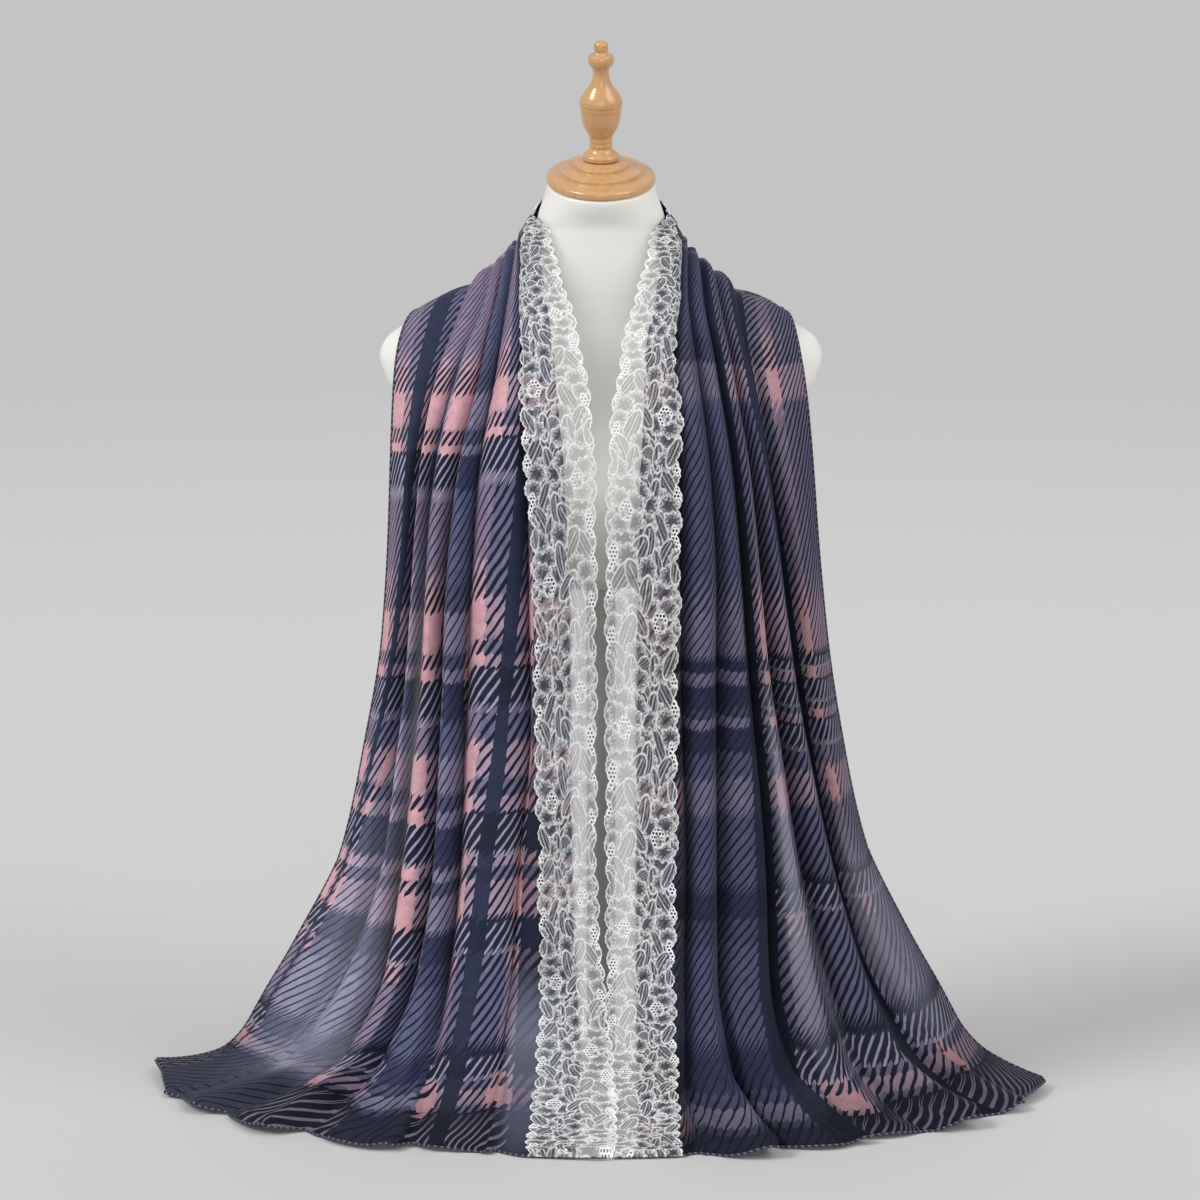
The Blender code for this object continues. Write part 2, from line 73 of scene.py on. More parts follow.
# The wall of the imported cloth, its clearance over what it hangs on and over the form,
# the level of cloth on the floor, and how it turns over the shoulder and lands.
WALL = 0.0012
CLEAR = 0.0012
FORM_GAP = 0.0014
FLOOR = WALL / 2
SOFT_LANDING = 0.05
SHOULDER_TURN = 0.02
SINK_SPAN = 0.42

# The lowest fold, the share of a wave in the last one, and the share of the drop over
# which the two sides part at the neck.
LEAST_FOLD = 0.0015
FREE_EDGE_PHASE = 0.30
NECK_PART = 0.06

# Points down a front, across a fold, round the back, across the lace's ground and across
# an evened carrier; and the sides of a hem, a turned piece and the stand.
PANEL_ROWS = 330
ROW_CROWDING = 0.10
FOLD_STEPS = 26
BACK_STEPS = 120
GROUND_COLUMNS = 13
CARRIER_COLUMNS = 21
HEM_SIDES = 8
TURNED_SIDES = 96
TURNED_RINGS = 150

# The drape at each share of the drop from shoulder to floor: half width and front depth
# of the bell that the cloth hangs on, how far its middle lies behind the origin, the
# largest half height of a fold, how far a fold's sides tuck under it, and the power of
# the bell's oval.
DRAPE = (
    # drop, half_width, front, back_shift, fold_limit, tuck, squareness
    (0.00, 0.190, 0.000, 0.010, 0.0035, 0.30, 2.4),
    (0.06, 0.200, 0.064, 0.005, 0.0040, 0.50, 2.4),
    (0.14, 0.198, 0.106, 0.000, 0.0060, 0.70, 2.4),
    (0.26, 0.196, 0.130, 0.000, 0.0100, 0.80, 2.4),
    (0.40, 0.200, 0.130, 0.005, 0.0140, 0.80, 2.4),
    (0.55, 0.212, 0.124, 0.010, 0.0150, 0.80, 2.3),
    (0.70, 0.232, 0.124, 0.018, 0.0150, 0.75, 2.2),
    (0.83, 0.272, 0.134, 0.030, 0.0130, 0.65, 2.1),
    (0.93, 0.318, 0.160, 0.045, 0.0085, 0.45, 2.0),
    (0.965, 0.345, 0.180, 0.048, 0.0065, 0.30, 2.0),
    (1.00, 0.402, 0.205, 0.045, 0.0050, 0.20, 2.0),
)
DROP = np.array([row[0] for row in DRAPE])

# Where each fold's bottom line lies across the front, in millimetres from the middle,
# at each share of the drop above, and the cloth's width from it to the next line.
RIGHT_FOLDS = (
    ("seam", 0.060, (57, 57, 56, 54, 48, 48, 45, 45, 49, 53, 57)),
    ("inner", 0.085, (62, 62, 61, 60, 60, 59, 68, 75, 84, 91, 100)),
    ("stripe", 0.085, (66, 76, 85, 100, 108, 114, 118, 128, 146, 157, 170)),
    ("tube", 0.085, (72, 84, 98, 118, 129, 134, 139, 154, 190, 219, 252)),
    ("second", 0.085, (82, 98, 120, 138, 146, 156, 167, 182, 222, 264, 322)),
    ("facet", 0.105, (100, 122, 139, 150, 157, 168, 181, 214, 262, 300, 366)),
    ("outer", 0.0, (146, 164, 168, 172, 179, 196, 218, 260, 306, 334, 400)),
)
LEFT_FOLDS = (
    ("seam", 0.060, (57, 56, 51, 57, 57, 56, 55, 53, 56, 58, 60)),
    ("strip", 0.085, (63, 61, 58, 64, 66, 68, 72, 70, 70, 79, 92)),
    ("facet", 0.085, (70, 71, 79, 90, 96, 97, 97, 98, 112, 128, 150)),
    ("tube", 0.095, (78, 86, 96, 109, 118, 129, 138, 142, 158, 182, 215)),
    ("band", 0.085, (90, 100, 110, 124, 134, 150, 166, 186, 212, 236, 272)),
    ("stripe", 0.105, (110, 117, 128, 142, 156, 174, 196, 223, 262, 290, 334)),
    ("outer", 0.0, (150, 160, 166, 174, 185, 202, 225, 265, 310, 338, 392)),
)
FOLDS = {-1: RIGHT_FOLDS, 1: LEFT_FOLDS}
LACE_LINE = {
    -1: (53, 32, 14, 3, 2, 2, 2, -4, -13, -15, -13),
    1: (53, 32, 15, 4, 2, 2, 2, 3, 3, 3, 4),
}
LACE_TUCK = 0.004
LACE_AWAY = {-1: 0.0060, 1: 0.0020}
LACE_AWAY_FROM = 0.1
LACE_RISE = 0.011
TIP_TURN = {-1: 0.0, 1: -0.038}
TIP_FROM = 0.83
TIP_POWER = 6
WIDEST_REACH = 0.999
HEM_RADIUS = 0.0011

# The cloth's edge under the lace: its columns and fold numbers, the share of the lace's
# width that it covers in the middle, at the neck and low down, and from which height.
EDGE_COLUMNS = 16
EDGE_FOLDS = 0.5
EDGE_REACH = 0.50
NAPE_REACH = 0.85
LOW_REACH = 0.88
LOW_FROM = 0.470
LOW_SPAN = 0.008
# Low down, the edge past its middle reach is a half-clear grey sheet of painted shade behind
# the lace: how sheer it is made, and the share over which that fades in.
EDGE_SHADE_SHEER = 3.2
EDGE_SHADE_SPAN = 0.06

# The lace in metres: the share of its width folded away at the neck, how far it laps
# over the cloth, its height over its ground, its grid and its relief.
TOP_CUT = 0.66
TOP_CUT_SPAN = 0.05
NAPE_CUT = 0.55
LACE_OVERLAP = (0.0075, 0.0055, 0.0035, 0.0015)
LACE_OVER = 0.0009
LACE_CELL = 0.00078
LACE_COLUMNS = 78
LACE_RELIEF = 0.00045
LACE_LOWEST = 0.0004

# The lace's pattern in millimetres: where it starts and its size, the rims, the bars,
# cords and frills of its motifs, and the scallops of its two edges.
LACE_START = {-1: 23.0, 1: 5.0}
LACE_PATTERN_WIDTH = 60.0
LACE_REPEAT = 128.0
LACE_RIM = 0.9
LACE_SOLID_RIM = 1.2
LEAF_BAR = 2.6
GRAIN_BAR = 2.4
CORD_WIDTH = 0.36
FRILL = 0.8
FRILL_WAVES = 7
FRILL_BARS = 13
FRILL_LINE = 1.9
LEAF_BEND = 0.012
RIB_WIDTH = 0.34
RIB_END = 0.8
MESH_INSET = -0.3
OUTLINE_SPAN = 0.9
SCALLOP_DEPTH = 3.8
NAPE_SCALLOP_DEPTH = 3.0
SCALLOP_PITCH = 16.0
INNER_SCALLOP = (3.0, 0.7)
PICOT_PITCH = 4.0
PICOT_SHARE = 0.24
LACE_DENSITY = 0.86
THINNEST = -0.7
MOTIF_GROWTH = {"petal": 1.28, "leaf": 1.12, "grain": 1.2, "ring": 0.95, "crescent": 1.0}
# The motifs that are worked as a mesh, and the share of each that its heart takes.
MESH_HEART = {"ring": 0.34, "crescent": 0.0}
# Motifs of one half repeat, in millimetres from the edge and along it: centre, half
# width, half length and turn in degrees.
LACE_MOTIFS = (
    ("grain", 3.2, -14.0, 4.6, 5.0, 20), ("grain", 3.4, 14.0, 4.6, 5.0, -20),
    ("grain", 4.0, 44.0, 4.6, 6.0, 0), ("grain", 3.6, 60.0, 4.4, 5.5, 0),
    ("leaf", 31.0, -24.0, 4.2, 9.0, -34), ("leaf", 38.0, -14.0, 3.6, 8.0, 16),
    ("petal", 33.0, -6.0, 7.0, 6.0, 20), ("petal", 31.0, 8.0, 7.0, 6.4, -20),
    ("petal", 25.0, -13.0, 8.0, 6.2, 34), ("petal", 13.5, -15.5, 8.0, 6.0, -10),
    ("petal", 5.5, -8.0, 5.4, 6.0, -40), ("petal", 25.0, 13.5, 8.0, 6.4, -34),
    ("petal", 13.5, 15.5, 8.0, 6.0, 10), ("petal", 5.5, 8.0, 5.4, 6.0, 40),
    ("petal", 23.0, -5.5, 5.8, 5.4, 30), ("petal", 22.5, 6.5, 5.8, 5.2, -30),
    ("petal", 12.0, 8.6, 6.0, 4.8, 0), ("petal", 11.0, -7.8, 5.8, 4.8, 0),
    ("ring", 16.5, 0.0, 5.6, 7.0, 0), ("petal", 14.5, 2.5, 2.0, 2.4, 0),
    ("leaf", 34.0, 18.0, 4.4, 10.0, 8), ("leaf", 26.0, 25.0, 5.4, 11.0, 32),
    ("petal", 17.5, 28.0, 6.6, 6.0, -14), ("crescent", 6.4, 29.0, 3.8, 9.0, 14),
    ("leaf", 13.5, 42.0, 5.2, 11.0, 34), ("leaf", 24.5, 41.0, 5.6, 11.5, -30),
    ("petal", 33.0, 35.0, 5.2, 6.8, 20), ("crescent", 4.6, 51.0, 2.8, 7.4, -10),
    ("leaf", 32.0, 50.0, 4.4, 11.0, 12), ("petal", 20.0, 55.0, 7.4, 6.2, 10),
    ("petal", 11.0, 58.0, 6.0, 5.4, -24), ("leaf", 27.0, 65.0, 4.6, 9.5, -40),
    ("petal", 8.0, 68.0, 5.4, 4.8, 0), ("crescent", 5.4, 78.0, 3.2, 8.0, 12),
    ("leaf", 18.5, 73.0, 5.2, 11.5, 24), ("leaf", 12.5, 88.0, 4.6, 9.5, -30),
    ("petal", 25.5, 84.0, 6.4, 6.0, -18), ("petal", 4.6, 91.0, 4.4, 5.0, 0),
    ("leaf", 20.5, 95.0, 4.4, 9.0, 10), ("petal", 10.0, 101.0, 6.0, 5.0, 26),
    ("grain", 32.0, 92.0, 4.6, 6.0, 10), ("leaf", 40.0, 92.0, 3.6, 8.5, 0),
    ("petal", 46.0, 94.0, 5.4, 4.6, 10), ("leaf", 52.0, 88.0, 4.2, 9.0, 24),
    ("leaf", 4.6, 97.0, 4.0, 8.0, -10), ("petal", 28.0, 99.0, 5.6, 5.4, 10),
)

# The dress form's level sections, bottom to neck: height, half width, front, back.
FORM = (
    (0.4500, 0.1120, 0.0860, 0.0680),
    (0.4750, 0.1210, 0.0960, 0.0730),
    (0.5050, 0.1330, 0.1100, 0.0770),
    (0.5350, 0.1440, 0.1190, 0.0810),
    (0.5600, 0.1520, 0.1140, 0.0850),
    (0.5850, 0.1590, 0.1030, 0.0875),
    (0.6030, 0.1720, 0.0880, 0.0840),
    (0.6200, 0.1815, 0.0750, 0.0780),
    (0.6370, 0.1860, 0.0630, 0.0700),
    (0.6500, 0.1810, 0.0560, 0.0640),
    (0.6590, 0.1700, 0.0520, 0.0600),
    (0.6680, 0.1500, 0.0500, 0.0570),
    (0.6780, 0.1300, 0.0490, 0.0560),
    (0.6900, 0.1090, 0.0485, 0.0560),
    (0.7020, 0.0910, 0.0485, 0.0555),
    (0.7150, 0.0760, 0.0485, 0.0550),
    (0.7300, 0.0630, 0.0485, 0.0545),
    (0.7450, 0.0540, 0.0490, 0.0540),
)
SHOULDER_HEIGHT = 0.637
NECK_HALF_WIDTH = 0.0450
FORM_POWER = 2.15
FORM_BOTTOM_ROUND = 0.012
FOOT_RINGS = 7
# Points round the form, rings up it and rings in the neck's bend: as shown, and as the
# cloth is held clear of it.
FORM_GRID = (144, 110, 14)
CLEARING_GRID = (48, 40, 4)

NECK_TILT = math.radians(12.5)
NECK_TOP_Z = 0.7885
NECK_TOP_Y = -0.006
CAP_DEPTH_RATIO = 1.2
CAP_BOTTOM = 0.0066
CAP_TOP = 0.0124
SEAM = 0.0004

# The scarf behind the neck: how far back the lace edge and the free edge lie, how far
# below the shoulders their middles hang, and its folds.
BACK = {
    "lace_depth": 0.0615,
    "lace_rise": 0.010,
    "edge_depth": 0.108,
    "edge_sag": 0.100,
    "sag_growth": 0.9,
    "depth_roundness": 0.75,
    "sag_roundness": 2.6,
    "folds": 4.5,
    "fold_height": 0.0040,
    "fold_roundness": 0.5,
}
NAPE_DEPTH = 0.0560
NAPE_HEIGHT = 0.757
NAPE_RISE = 0.020

BASE_RADIUS = 0.100
BASE_HEIGHT = 0.010
BASE_RIM = 0.002
POLE_RADIUS = 0.0125
POLE_RIM = 0.0005
POLE_SIDES = 48
BASE_SIDES = 128
RIM_RINGS = 7
FOOT_BEVEL = 0.2

# Turned outlines, top to bottom: radius and height in millimetres above the foot.
FINIAL = (
    (0.0, 100.8), (3.0, 100.2), (4.8, 99.0), (5.8, 97.4), (6.1, 94.6), (5.5, 91.6),
    (6.6, 90.0), (9.8, 88.4), (10.9, 84.6), (9.8, 80.6), (7.2, 77.4), (6.6, 73.0),
    (7.6, 68.0), (9.6, 63.2), (13.0, 58.6), (16.2, 54.0), (17.8, 50.0), (17.9, 47.6),
    (17.2, 46.6), (17.3, 44.2), (16.7, 41.6), (16.4, 37.0), (15.4, 31.6), (13.4, 26.6),
    (11.2, 22.4), (9.3, 18.8), (9.7, 16.6), (9.2, 14.6), (9.7, 12.6), (9.2, 10.6),
    (10.6, 8.0), (13.6, 5.4), (15.3, 3.4), (15.3, 1.2), (14.4, 0.0), (0.0, 0.0),
)
CAP = (
    (0.0, 12.4), (16.2, 12.4), (20.4, 11.2), (22.8, 9.8), (23.2, 7.4), (29.0, 6.6),
    (34.4, 5.2), (34.9, 2.6), (40.0, 1.4), (43.6, 0.2), (45.3, -2.0), (45.5, -4.6),
    (44.4, -6.6), (0.0, -6.6),
)

# ---------------------------------------------------------------- creases and pattern

TUCK_GAIN = 1.5
# The shares of the drop over which a crease fades in and out.
CREASE_IN = 0.05
CREASE_OUT = 0.08
# Each crease: the fold number of its line at its top and at its bottom, its width in
# folds, its height in millimetres, and the shares of the drop where it starts and stops.
CREASES = {
    -1: (
        (5.10, 5.20, 0.10, -2.0, 0.05, 0.70), (4.55, 4.70, 0.09, 1.6, 0.10, 0.80),
        (4.20, 4.05, 0.07, -1.4, 0.20, 0.62), (3.25, 3.10, 0.07, 1.5, 0.03, 0.45),
        (2.30, 2.40, 0.07, -1.3, 0.08, 0.55), (1.30, 1.15, 0.08, 1.8, 0.25, 0.85),
        (0.60, 0.45, 0.09, -1.6, 0.15, 0.70), (2.70, 2.55, 0.06, 1.2, 0.45, 0.90),
        (0.45, 0.50, 0.10, 1.6, 0.07, 0.30), (1.55, 1.50, 0.10, 1.5, 0.07, 0.26),
        (2.55, 2.60, 0.10, 1.7, 0.08, 0.30), (3.70, 3.60, 0.10, 1.7, 0.09, 0.34),
        (4.70, 4.45, 0.12, 1.9, 0.09, 0.38), (5.55, 5.45, 0.12, 1.6, 0.10, 0.42),
        (3.60, 3.80, 0.08, -1.8, 0.40, 0.95), (1.70, 1.85, 0.08, -1.6, 0.42, 0.92),
        (4.85, 5.20, 0.07, 1.8, 0.55, 0.97), (5.60, 5.35, 0.07, 1.6, 0.60, 0.98),
        (0.35, 0.20, 0.07, 1.6, 0.50, 0.95), (2.20, 2.00, 0.06, 1.4, 0.58, 0.97),
        (4.95, 4.34, 0.05, 2.6, 0.72, 0.93), (3.95, 4.26, 0.05, 2.6, 0.76, 0.93),
        (4.45, 4.31, 0.04, 2.0, 0.78, 0.93), (4.32, 5.10, 0.06, 2.6, 0.91, 1.05),
        (4.28, 3.60, 0.06, 2.6, 0.91, 1.05), (3.40, 3.20, 0.06, 3.4, 0.82, 1.05),
        (2.60, 2.75, 0.06, -3.0, 0.84, 1.05), (2.35, 2.20, 0.06, 3.0, 0.86, 1.05),
        (1.45, 1.60, 0.06, 3.2, 0.84, 1.05), (0.95, 0.80, 0.06, 2.6, 0.86, 1.05),
    ),
    1: (
        (5.30, 5.15, 0.09, -2.2, 0.05, 0.60), (4.80, 4.90, 0.08, 1.6, 0.12, 0.85),
        (4.05, 4.20, 0.08, -1.6, 0.25, 0.75), (3.10, 3.25, 0.07, 1.4, 0.05, 0.50),
        (2.25, 2.40, 0.07, -1.4, 0.10, 0.62), (1.45, 1.30, 0.09, 1.6, 0.20, 0.80),
        (0.55, 0.70, 0.09, -1.8, 0.12, 0.75), (2.85, 2.70, 0.06, 1.2, 0.40, 0.88),
        (0.50, 0.55, 0.10, 1.6, 0.07, 0.28), (1.50, 1.60, 0.10, 1.6, 0.07, 0.30),
        (2.50, 2.45, 0.10, 1.5, 0.08, 0.26), (3.55, 3.45, 0.10, 1.8, 0.09, 0.36),
        (4.60, 4.40, 0.12, 1.8, 0.09, 0.36), (5.50, 5.60, 0.12, 1.6, 0.10, 0.40),
        (3.70, 3.50, 0.08, -1.8, 0.42, 0.94), (1.80, 1.65, 0.08, -1.6, 0.38, 0.90),
        (4.45, 4.70, 0.07, 1.8, 0.52, 0.97), (5.35, 5.60, 0.07, 1.6, 0.58, 0.98),
        (0.40, 0.25, 0.07, 1.6, 0.48, 0.95), (2.10, 2.30, 0.06, 1.4, 0.60, 0.97),
        (5.10, 5.40, 0.06, 3.0, 0.80, 1.05), (4.70, 4.55, 0.05, 2.6, 0.84, 1.05),
        (4.05, 4.25, 0.06, 3.4, 0.82, 1.05), (3.35, 3.10, 0.06, 3.4, 0.82, 1.05),
        (2.65, 2.80, 0.06, -3.0, 0.84, 1.05), (2.25, 2.10, 0.06, 3.2, 0.86, 1.05),
        (1.55, 1.75, 0.06, 3.4, 0.84, 1.05), (0.90, 0.75, 0.06, 2.6, 0.86, 1.05),
    ),
}

# The height below which a thread counts on by its length, the last fold number and the
# highest band level, and how much higher the bands ride in the folds beside the lace.
LEVEL_START = 0.25
FOLD_END = 6.0
BAND_END = 1.1
LACE_SIDE_RISE = {-1: 0.017, 1: 0.0}
LACE_SIDE_END = 1.6
LACE_SIDE_SPAN = 0.3
# The lengthwise stripes from the lace outwards: the ink of each, and the fold number
# where it starts at each of the stripe levels.
STRIPE_LEVELS = (0.03, 0.25, 0.37, 0.49, 0.62)
STRIPES = {
    -1: (
        ("thin", (0.00, 0.00, 0.00, 0.00, 0.00)),
        ("rose", (0.45, 0.42, 0.30, 0.15, 0.10)),
        ("twill", (1.22, 1.16, 1.10, 0.90, 0.40)),
        ("slate", (1.46, 1.42, 1.38, 1.23, 0.88)),
        ("twill", (1.62, 1.54, 1.46, 1.38, 1.27)),
        ("rose", (1.68, 1.64, 1.54, 1.54, 1.46)),
        ("lavender", (1.86, 1.84, 2.24, 2.10, 1.72)),
        ("twill", (2.62, 2.62, 2.60, 2.60, 2.62)),
        ("rose", (3.34, 3.36, 3.36, 3.06, 2.66)),
        ("veil", (3.66, 3.72, 3.64, 3.62, 3.60)),
        ("rose", (5.80, 5.72, 4.95, 4.35, 4.20)),
        ("twill", (5.82, 5.76, 5.20, 4.85, 4.90)),
        ("slate", (5.84, 5.80, 5.60, 5.42, 5.34)),
        ("pale", (5.86, 5.84, 5.72, 5.60, 5.64)),
        ("rose", (5.88, 5.88, 5.80, 5.76, 5.76)),
    ),
    1: (
        ("thin", (0.00, 0.00, 0.00, 0.00, 0.00)),
        ("lavender", (0.45, 0.45, 0.40, 0.40, 0.80)),
        ("slate", (2.55, 2.55, 2.60, 2.60, 2.60)),
        ("twill", (3.22, 3.30, 3.34, 3.36, 3.36)),
        ("rose", (3.30, 3.40, 3.44, 3.46, 3.60)),
        ("twill", (3.60, 3.56, 3.60, 3.58, 3.76)),
        ("slate", (4.62, 4.60, 4.62, 4.56, 4.42)),
        ("pale", (5.15, 5.24, 5.38, 5.34, 5.20)),
        ("rose", (5.42, 5.46, 5.46, 5.46, 5.46)),
        ("pale", (5.62, 5.62, 5.60, 5.62, 5.64)),
        ("twill", (5.80, 5.80, 5.78, 5.80, 5.76)),
    ),
}
# The crosswise bands from the hem upwards: the kind of each, and the level it starts.
BANDS = {
    -1: (
        ("navy", -0.30), ("barred", 0.002), ("rose", 0.008), ("barred", 0.022),
        ("navy", 0.030), ("plain", 0.050), ("barred", 0.120), ("navy", 0.138), ("rose", 0.163),
        ("barred", 0.198), ("rose", 0.211), ("navy", 0.220), ("rose", 0.256),
        ("barred", 0.270), ("rose", 0.284), ("plain", 0.316), ("navy", 0.341),
        ("rose", 0.380), ("barred", 0.391), ("rose", 0.405), ("barred", 0.439),
        ("plain", 0.460), ("navy", 0.541), ("rose", 0.574), ("barred", 0.580),
        ("rose", 0.593), ("barred", 0.624), ("plain", 0.646), ("rose", 0.766),
        ("barred", 0.780), ("navy", 0.800),
    ),
    1: (
        ("navy", -0.30), ("barred", -0.006), ("rose", 0.002), ("barred", 0.022),
        ("navy", 0.034), ("plain", 0.066), ("barred", 0.160), ("navy", 0.180),
        ("plain", 0.204), ("rose", 0.268), ("plain", 0.300), ("navy", 0.321),
        ("rose", 0.344), ("barred", 0.352), ("navy", 0.358), ("rose", 0.380),
        ("navy", 0.392), ("rose", 0.400), ("plain", 0.439), ("rose", 0.617),
        ("barred", 0.651), ("plain", 0.668), ("rose", 0.766), ("barred", 0.780),
        ("navy", 0.800),
    ),
}
# Screen colours of each stripe's ink in each kind of band, and the share of it that the
# diagonal lines cover.
INK = {
    "lavender": {"plain": (88, 92, 122, 0.27), "rose": (124, 120, 146, 0.22),
                 "navy": (52, 56, 84, 0.20), "barred": (78, 80, 108, 0.34)},
    "slate": {"plain": (42, 48, 70, 0.0), "rose": (46, 52, 74, 0.0),
              "navy": (34, 40, 58, 0.0), "barred": (42, 48, 68, 0.0)},
    "rose": {"plain": (132, 118, 142, 0.26), "rose": (204, 158, 166, 0.0),
             "navy": (30, 33, 52, 0.30), "barred": (188, 150, 162, 0.50)},
    "twill": {"plain": (106, 104, 134, 0.44), "rose": (164, 142, 162, 0.36),
              "navy": (36, 40, 62, 0.30), "barred": (116, 112, 140, 0.52)},
    "pale": {"plain": (118, 112, 138, 0.40), "rose": (168, 140, 156, 0.32),
             "navy": (42, 46, 72, 0.36), "barred": (128, 120, 144, 0.48)},
    "thin": {"plain": (66, 68, 86, 0.36), "rose": (138, 110, 122, 0.40),
             "navy": (32, 36, 52, 0.30), "barred": (88, 82, 100, 0.46)},
    "veil": {"plain": (142, 140, 166, 0.26), "rose": (168, 154, 174, 0.20),
             "navy": (84, 88, 112, 0.18), "barred": (122, 120, 148, 0.30)},
}
BAND_MASKS = {"plain": (0, 0, 0, 1), "rose": (1, 0, 0, 1), "navy": (0, 1, 0, 1),
              "barred": (0, 0, 1, 1)}
# Screen colours of the diagonals; of thin cloth, a tint mixed with painted shade from behind
# it; and of the cloth's edge under the lace, a grey of painted shade. Then the painted shade
# that scales each side's cloth, darker on the wearer's left front, and the inks whose
# diagonals are pale on navy.
LINE_DARK = (28, 32, 52)
LINE_PALE = (158, 152, 174)
VEIL_TINT_AND_SHADE = (124, 134, 168)
VEIL_SHARE = 0.30
EDGE_PAINTED_SHADE = (150, 150, 152)
EDGE_PAINTED_SHADE_FROM = 1.2
SIDE_PAINTED_SHADE = {-1: 1.02, 1: 0.66}
PALE_LINED = ("rose", "twill", "pale")
# The diagonals: pitch in metres, and metres along the thread for one across it.
LINE_PITCH = {-1: 0.0130, 1: 0.0102}
LINE_SLOPE = {-1: 1.75, 1: 1.6}
# Above this level the diagonals are closer together, by this factor.
FINE_FROM = 0.630
FINE_GAIN = 1.3
# How far the diagonals push the edges of stripes and bands, in stripes and bands, how
# far they waver, how sharp printed edges are, and the least share that is drawn.
STRIPE_TOOTH = 0.06
BAND_TOOTH = 0.30
LINE_WAVER = 0.0045
EDGE_SHARPNESS = 9.0
LEAST_DUTY = 0.02
CHIFFON_PITCH = 0.0007
# The cloth's tone, as factor and start: cloudy blotches, the thread's slubs, and painted shade
# that darkens it towards the hem.
CLOUDS = (0.90, 0.55)
SLUBS = (0.5, 0.75)
HEM_PAINTED_SHADE = (4.2, 0.28)
SHEER_ALPHA = 0.84
LEAST_SHEER = 0.04
# Thin places: fold number and its spread, level and its spread, and how sheer.
SHEER_PLACES = {
    -1: ((3.95, 0.30, 0.36, 0.16, 1.0), (4.9, 0.75, 0.12, 0.16, 0.55),
         (0.30, 0.50, 0.05, 0.07, 0.8), (4.4, 0.9, 0.03, 0.035, 0.9)),
    1: ((3.50, 0.13, 0.22, 0.16, 0.8), (3.95, 0.20, 0.16, 0.12, 0.5),
        (5.6, 0.30, 0.14, 0.10, 0.5)),
}
# Where the hem lies in tongues on the floor: the fold number of each one's corner, its
# width in folds, how far its corner reaches out and how high it lifts, in millimetres.
TONGUES = {
    -1: ((4.95, 0.8, 18.0, 4.0), (4.15, 1.0, 24.0, 6.0), (3.15, 1.0, 26.0, 6.0),
         (1.88, 1.2, 24.0, 7.0), (0.70, 0.8, 10.0, 3.0)),
    1: ((1.80, -1.4, 26.0, 8.0), (3.08, -1.1, 24.0, 7.0), (4.62, -1.3, 24.0, 7.0),
        (5.50, -0.8, 14.0, 4.0)),
}
TONGUE_BACK = 10.0
TONGUE_BACK_FOLDS = 0.8
TONGUE_FROM = 0.88
TONGUE_STEP = 0.16
TONGUE_CREST = 0.12

# The overlock thread's turn in metres, its lean, and the share of a turn that is dark;
# the bare net and the worked mesh of the lace: pitch in metres, size of a hole.
OVERLOCK_TURN = 0.0056
OVERLOCK_LEAN = 0.6
OVERLOCK_DARK = 0.66
NET = (0.0012, 0.47)
WORKED_MESH = (0.0027, 0.37)
MESH_ROW_SHARE = 0.9
NET_ALPHA = 0.13
NET_HOLE_ALPHA = -0.12


def between(stations, values, where):
    """A smooth curve through values at stations: a cubic whose slope at each station
    is the harmonic mean of the slopes on its two sides, so that it never overshoots."""
    stations = np.asarray(stations, float)
    values = np.asarray(values, float)
    run = np.diff(stations)
    slope = np.diff(values) / run
    tangent = np.empty_like(values)
    tangent[0] = slope[0]
    tangent[-1] = slope[-1]
    product = slope[:-1] * slope[1:]
    mean = 2 * product / np.where(product > 0, slope[:-1] + slope[1:], 1.0)
    tangent[1:-1] = np.where(product > 0, mean, 0.0)
    cell = np.clip(np.searchsorted(stations, where, side="right") - 1, 0, len(run) - 1)
    share = (where - stations[cell]) / run[cell]
    square = share * share
    cube = square * share
    start = values[cell] * (2 * cube - 3 * square + 1)
    end = values[cell + 1] * (3 * square - 2 * cube)
    lean_in = tangent[cell] * run[cell] * (cube - 2 * square + share)
    lean_out = tangent[cell + 1] * run[cell] * (cube - square)
    return start + end + lean_in + lean_out


def down(values, drop):
    """A smooth curve through values at the drape table's stations. It runs with the
    square root of the drop, quick near the shoulder, where the cloth turns over it."""
    return between(np.sqrt(DROP), values, np.sqrt(drop))


def drape(column, drop):
    """One column of the drape table at any share of the drop."""
    return down([row[column] for row in DRAPE], drop)


def unit(vectors):
    """The vectors, each divided by its length."""
    return vectors / np.maximum(np.linalg.norm(vectors, axis=-1, keepdims=True), 1e-12)


def normals(points):
    """Unit normals of a grid of points: the cross product of its two directions."""
    along = np.gradient(points, axis=0)
    over = np.gradient(points, axis=1)
    return unit(np.cross(over, along))


def ease(value):
    """0 below 0, 1 above 1, and a smooth step between."""
    value = np.clip(value, 0, 1)
    return value * value * (3 - 2 * value)


def arc_length(points, axis):
    """The distance travelled along one direction of a grid, from 0 at its start."""
    steps = np.linalg.norm(np.diff(points, axis=axis), axis=-1)
    start = np.zeros_like(np.take(steps, [0], axis=axis))
    return np.concatenate([start, np.cumsum(steps, axis=axis)], axis=axis)


def sample(grid, rows, columns):
    """The grid read at fractional rows and columns, linear between its points."""
    row = np.clip(np.floor(rows).astype(int), 0, grid.shape[0] - 2)
    column = np.clip(np.floor(columns).astype(int), 0, grid.shape[1] - 2)
    r = (rows - row)[..., None]
    c = (columns - column)[..., None]
    first = grid[row, column] * (1 - c) + grid[row, column + 1] * c
    second = grid[row + 1, column] * (1 - c) + grid[row + 1, column + 1] * c
    return first * (1 - r) + second * r


# ---------------------------------------------------------------- the form's shape

